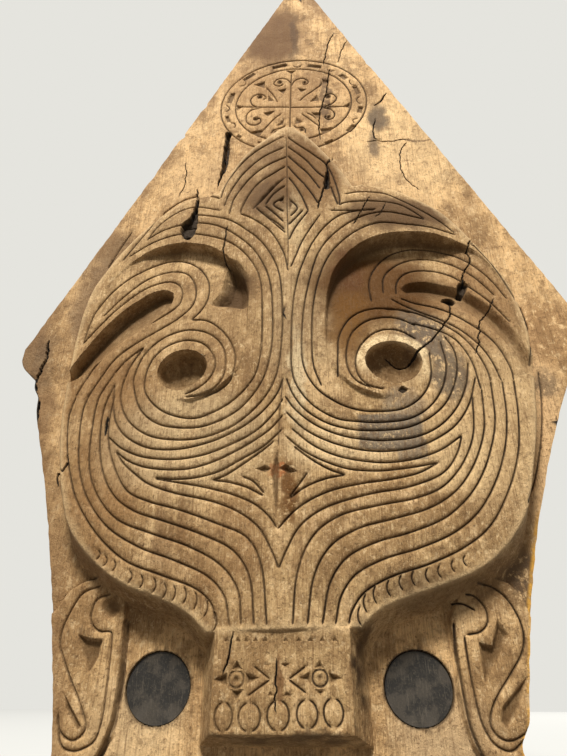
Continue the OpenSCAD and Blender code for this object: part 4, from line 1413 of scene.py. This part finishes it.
class BoardSettings(bpy.types.PropertyGroup):
    """Mesh and colours of the board."""

    pitch: length_setting("Carving Pitch", "Spacing of the mesh where there is carving",
                          0.001, 0.0005, 0.005)
    triangles: bpy.props.IntProperty(name="Most Triangles", description="Triangles that the board may keep",
                                     default=194000, min=20000, max=199000)
    mask: colour_setting("Mask Wood", "Main colour of the carved mask", (184, 151, 104))
    plank: colour_setting("Plank Wood", "Main colour of the plank round the mask", (222, 181, 126))
    # Colour of the painted shade round the foot of the mask
    painted_shade: colour_setting("Painted Shade", "Colour of the dirt that gathers round the foot of the mask", (92, 66, 38))


class InlaySettings(bpy.types.PropertyGroup):
    """Size and colour of the inlays."""

    dome: length_setting("Dome", "How far an inlay's middle stands above its edge", 0.0006, 0.0, 0.0014)
    stone: colour_setting("Inlay", "Main colour of the inlays", (34, 31, 27))


class StageSettings(bpy.types.PropertyGroup):
    """The plain studio."""

    backdrop: colour_setting("Backdrop", "Colour behind the object", (229, 228, 222))
    floor_gap: length_setting("Floor Gap", "Gap between the object and the floor", 0.0005, 0.0, 1.0, 4)
    key: bpy.props.FloatProperty(name="Key Light", description="Power of the large lamp above",
                                 default=440.0, min=0.0, max=2000.0, unit="POWER")
    ambient: bpy.props.FloatProperty(name="Ambient", description="Light that comes from all round",
                                     default=0.37, min=0.0, max=2.0)


# ---------------------------------------------------------------- pieces, stage and panel
def smooth_shaded(mesh, sharp_degrees):
    """Shades a mesh smoothly, apart from edges that turn by more than the given angle."""
    mesh.polygons.foreach_set("use_smooth", [True] * len(mesh.polygons))
    mesh.set_sharp_from_angle(angle=math.radians(sharp_degrees))


def place_in(scene, name, data):
    """Puts a new object in the scene."""
    thing = bpy.data.objects.new(name, data)
    scene.collection.objects.link(thing)
    return thing


class FINIAL_OT_board(bpy.types.Operator):
    """Builds the carved board"""

    bl_idname = "finial.board"
    bl_label = "Build Carved Board"

    def execute(self, context):
        settings = context.scene.finial_board
        cuts, chips = lay_out_cuts(), lay_out_chips()
        piece = place_in(context.scene, "carved_board_wood", board_mesh(settings, cuts, chips))
        thin_out(piece, settings.triangles)
        mark_surface(piece.data, cuts, chips)
        smooth_shaded(piece.data, 38)
        piece.data.materials.append(aged_wood(settings))
        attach(piece, "root")
        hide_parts("carved_board")
        return {"FINISHED"}


def inlay_mesh(node, dome, seed):
    """Slightly domed disc with a worn rim that fills the CAD inlay's box."""
    low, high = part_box(node)
    centre = (low + high) / 2
    radius = (high.x - low.x) / 2
    thick = high.y - low.y
    bm = bmesh.new()
    bmesh.ops.create_circle(bm, cap_ends=True, segments=96, radius=radius * 0.985)
    top = bm.faces[:]
    for share in (0.12, 0.28, 0.42, 0.55):
        bmesh.ops.inset_region(bm, faces=top, thickness=radius * share * 0.34)
        top = [max(bm.faces, key=lambda f: len(f.verts))]
    bmesh.ops.poke(bm, faces=top)
    rim = [e for e in bm.edges if e.is_boundary]
    for out, down in ((0.015, 0.0005), (0.0, thick - 0.0006)):
        walled = bmesh.ops.extrude_edge_only(bm, edges=rim)["geom"]
        ring = [v for v in walled if isinstance(v, bmesh.types.BMVert)]
        for v in ring:
            grow = 1 + out * radius / v.co.xy.length
            v.co = (v.co.x * grow, v.co.y * grow, v.co.z - down)
        rim = [e for e in walled if isinstance(e, bmesh.types.BMEdge)]
    bmesh.ops.holes_fill(bm, edges=[e for e in bm.edges if e.is_boundary], sides=0)
    for v in bm.verts:
        r = v.co.xy.length / radius
        if v.co.z > -1e-5:
            wave = 0.00012 * noise(v.co.x / MM, v.co.y / MM, 7, 60 + seed)
            v.co.z += dome * (1 - r * r) - dome + float(wave)
    bmesh.ops.recalc_face_normals(bm, faces=bm.faces)
    upright = Matrix.Rotation(math.radians(90), 4, "X")
    place = Matrix.Translation((centre.x, low.y + 0.0002, centre.z)) @ upright
    bmesh.ops.transform(bm, matrix=place, verts=bm.verts)
    return finished_mesh(bm, node + "_stone")


class FINIAL_OT_inlays(bpy.types.Operator):
    """Builds the two round inlays"""

    bl_idname = "finial.inlays"
    bl_label = "Build Inlays"

    def execute(self, context):
        settings = context.scene.finial_inlays
        material = dark_inlay(settings)
        for seed, node in enumerate(("inlay_disc_left", "inlay_disc_right")):
            piece = place_in(context.scene, node + "_stone", inlay_mesh(node, settings.dome, seed))
            smooth_shaded(piece.data, 40)
            piece.data.materials.append(material)
            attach(piece, "root")
            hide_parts(node)
        return {"FINISHED"}


LENS = 26.19
CAMERA_PLACE = (0.0387, -0.534, -0.3412)
CAMERA_TURNS = (("Y", 4.75), ("X", 30.1), ("Z", 0.18))   # degrees away from a level view from the front
LAMP_AIM = Vector((0, 0, 0.15))


def add_floor(scene, settings):
    """Puts a plain floor under the board."""
    bm = bmesh.new()
    bmesh.ops.create_grid(bm, x_segments=4, y_segments=4, size=4.0)
    bmesh.ops.translate(bm, vec=(0, 0, CAD_LOW[2] - settings.floor_gap), verts=bm.verts)
    floor = place_in(scene, "studio_floor", finished_mesh(bm, "studio_floor"))
    floor.data.materials.append(studio_floor_paint(settings))


def add_lamp(scene, name, where, size, power, colour):
    """Adds a round soft lamp that faces the board."""
    lamp = bpy.data.lights.new(name, "AREA")
    lamp.shape = "DISK"
    lamp.size = size
    lamp.energy = power
    lamp.color = colour
    holder = place_in(scene, name, lamp)
    holder.location = where
    holder.rotation_euler = (LAMP_AIM - Vector(where)).to_track_quat("-Z", "Y").to_euler()


def add_camera(scene):
    """Adds the camera, low in front of the board and looking up."""
    view = bpy.data.cameras.new("view")
    view.lens = LENS
    view.sensor_width = 36.0
    camera = place_in(scene, "view", view)
    level = Matrix(((1, 0, 0), (0, 0, -1), (0, 1, 0)))
    turn = Matrix.Identity(3)
    for axis, degrees in CAMERA_TURNS:
        turn = turn @ Matrix.Rotation(math.radians(degrees), 3, axis)
    camera.matrix_world = Matrix.Translation(CAMERA_PLACE) @ (level @ turn).to_4x4()
    scene.camera = camera


class FINIAL_OT_stage(bpy.types.Operator):
    """Builds the floor, the backdrop, the lamps and the camera"""

    bl_idname = "finial.stage"
    bl_label = "Build Stage"

    def execute(self, context):
        scene = context.scene
        settings = scene.finial_stage
        add_floor(scene, settings)
        scene.world = studio_air(settings)
        add_lamp(scene, "key_lamp", (-0.3, -3.3, 3.9), 1.2, settings.key, (1, 0.98, 0.94))
        add_lamp(scene, "back_lamp", (2.4, 3.2, 2.6), 2.6, settings.key * 0.6, (1, 0.99, 0.97))
        add_camera(scene)
        scene.view_settings.view_transform = "Standard"
        return {"FINISHED"}


class FINIAL_PT_panel(bpy.types.Panel):
    """Settings and steps of the finial"""

    bl_label = "Finial"
    bl_idname = "FINIAL_PT_panel"
    bl_space_type = "VIEW_3D"
    bl_region_type = "UI"
    bl_category = "Finial"

    def draw(self, context):
        scene = context.scene
        for group, step in ((scene.finial_board, "finial.board"), (scene.finial_inlays, "finial.inlays"),
                            (scene.finial_stage, "finial.stage")):
            box = self.layout.box()
            for name in type(group).__annotations__:
                box.prop(group, name)
            box.operator(step)


CLASSES = (BoardSettings, InlaySettings, StageSettings, FINIAL_OT_board, FINIAL_OT_inlays, FINIAL_OT_stage,
           FINIAL_PT_panel)


def register():
    for cls in CLASSES:
        bpy.utils.register_class(cls)
    bpy.types.Scene.finial_board = bpy.props.PointerProperty(type=BoardSettings)
    bpy.types.Scene.finial_inlays = bpy.props.PointerProperty(type=InlaySettings)
    bpy.types.Scene.finial_stage = bpy.props.PointerProperty(type=StageSettings)


def unregister():
    del bpy.types.Scene.finial_board
    del bpy.types.Scene.finial_inlays
    del bpy.types.Scene.finial_stage
    for cls in reversed(CLASSES):
        bpy.utils.unregister_class(cls)


def main():
    register()
    bpy.ops.finial.board()
    bpy.ops.finial.inlays()
    bpy.ops.finial.stage()


if __name__ == "__main__":
    main()
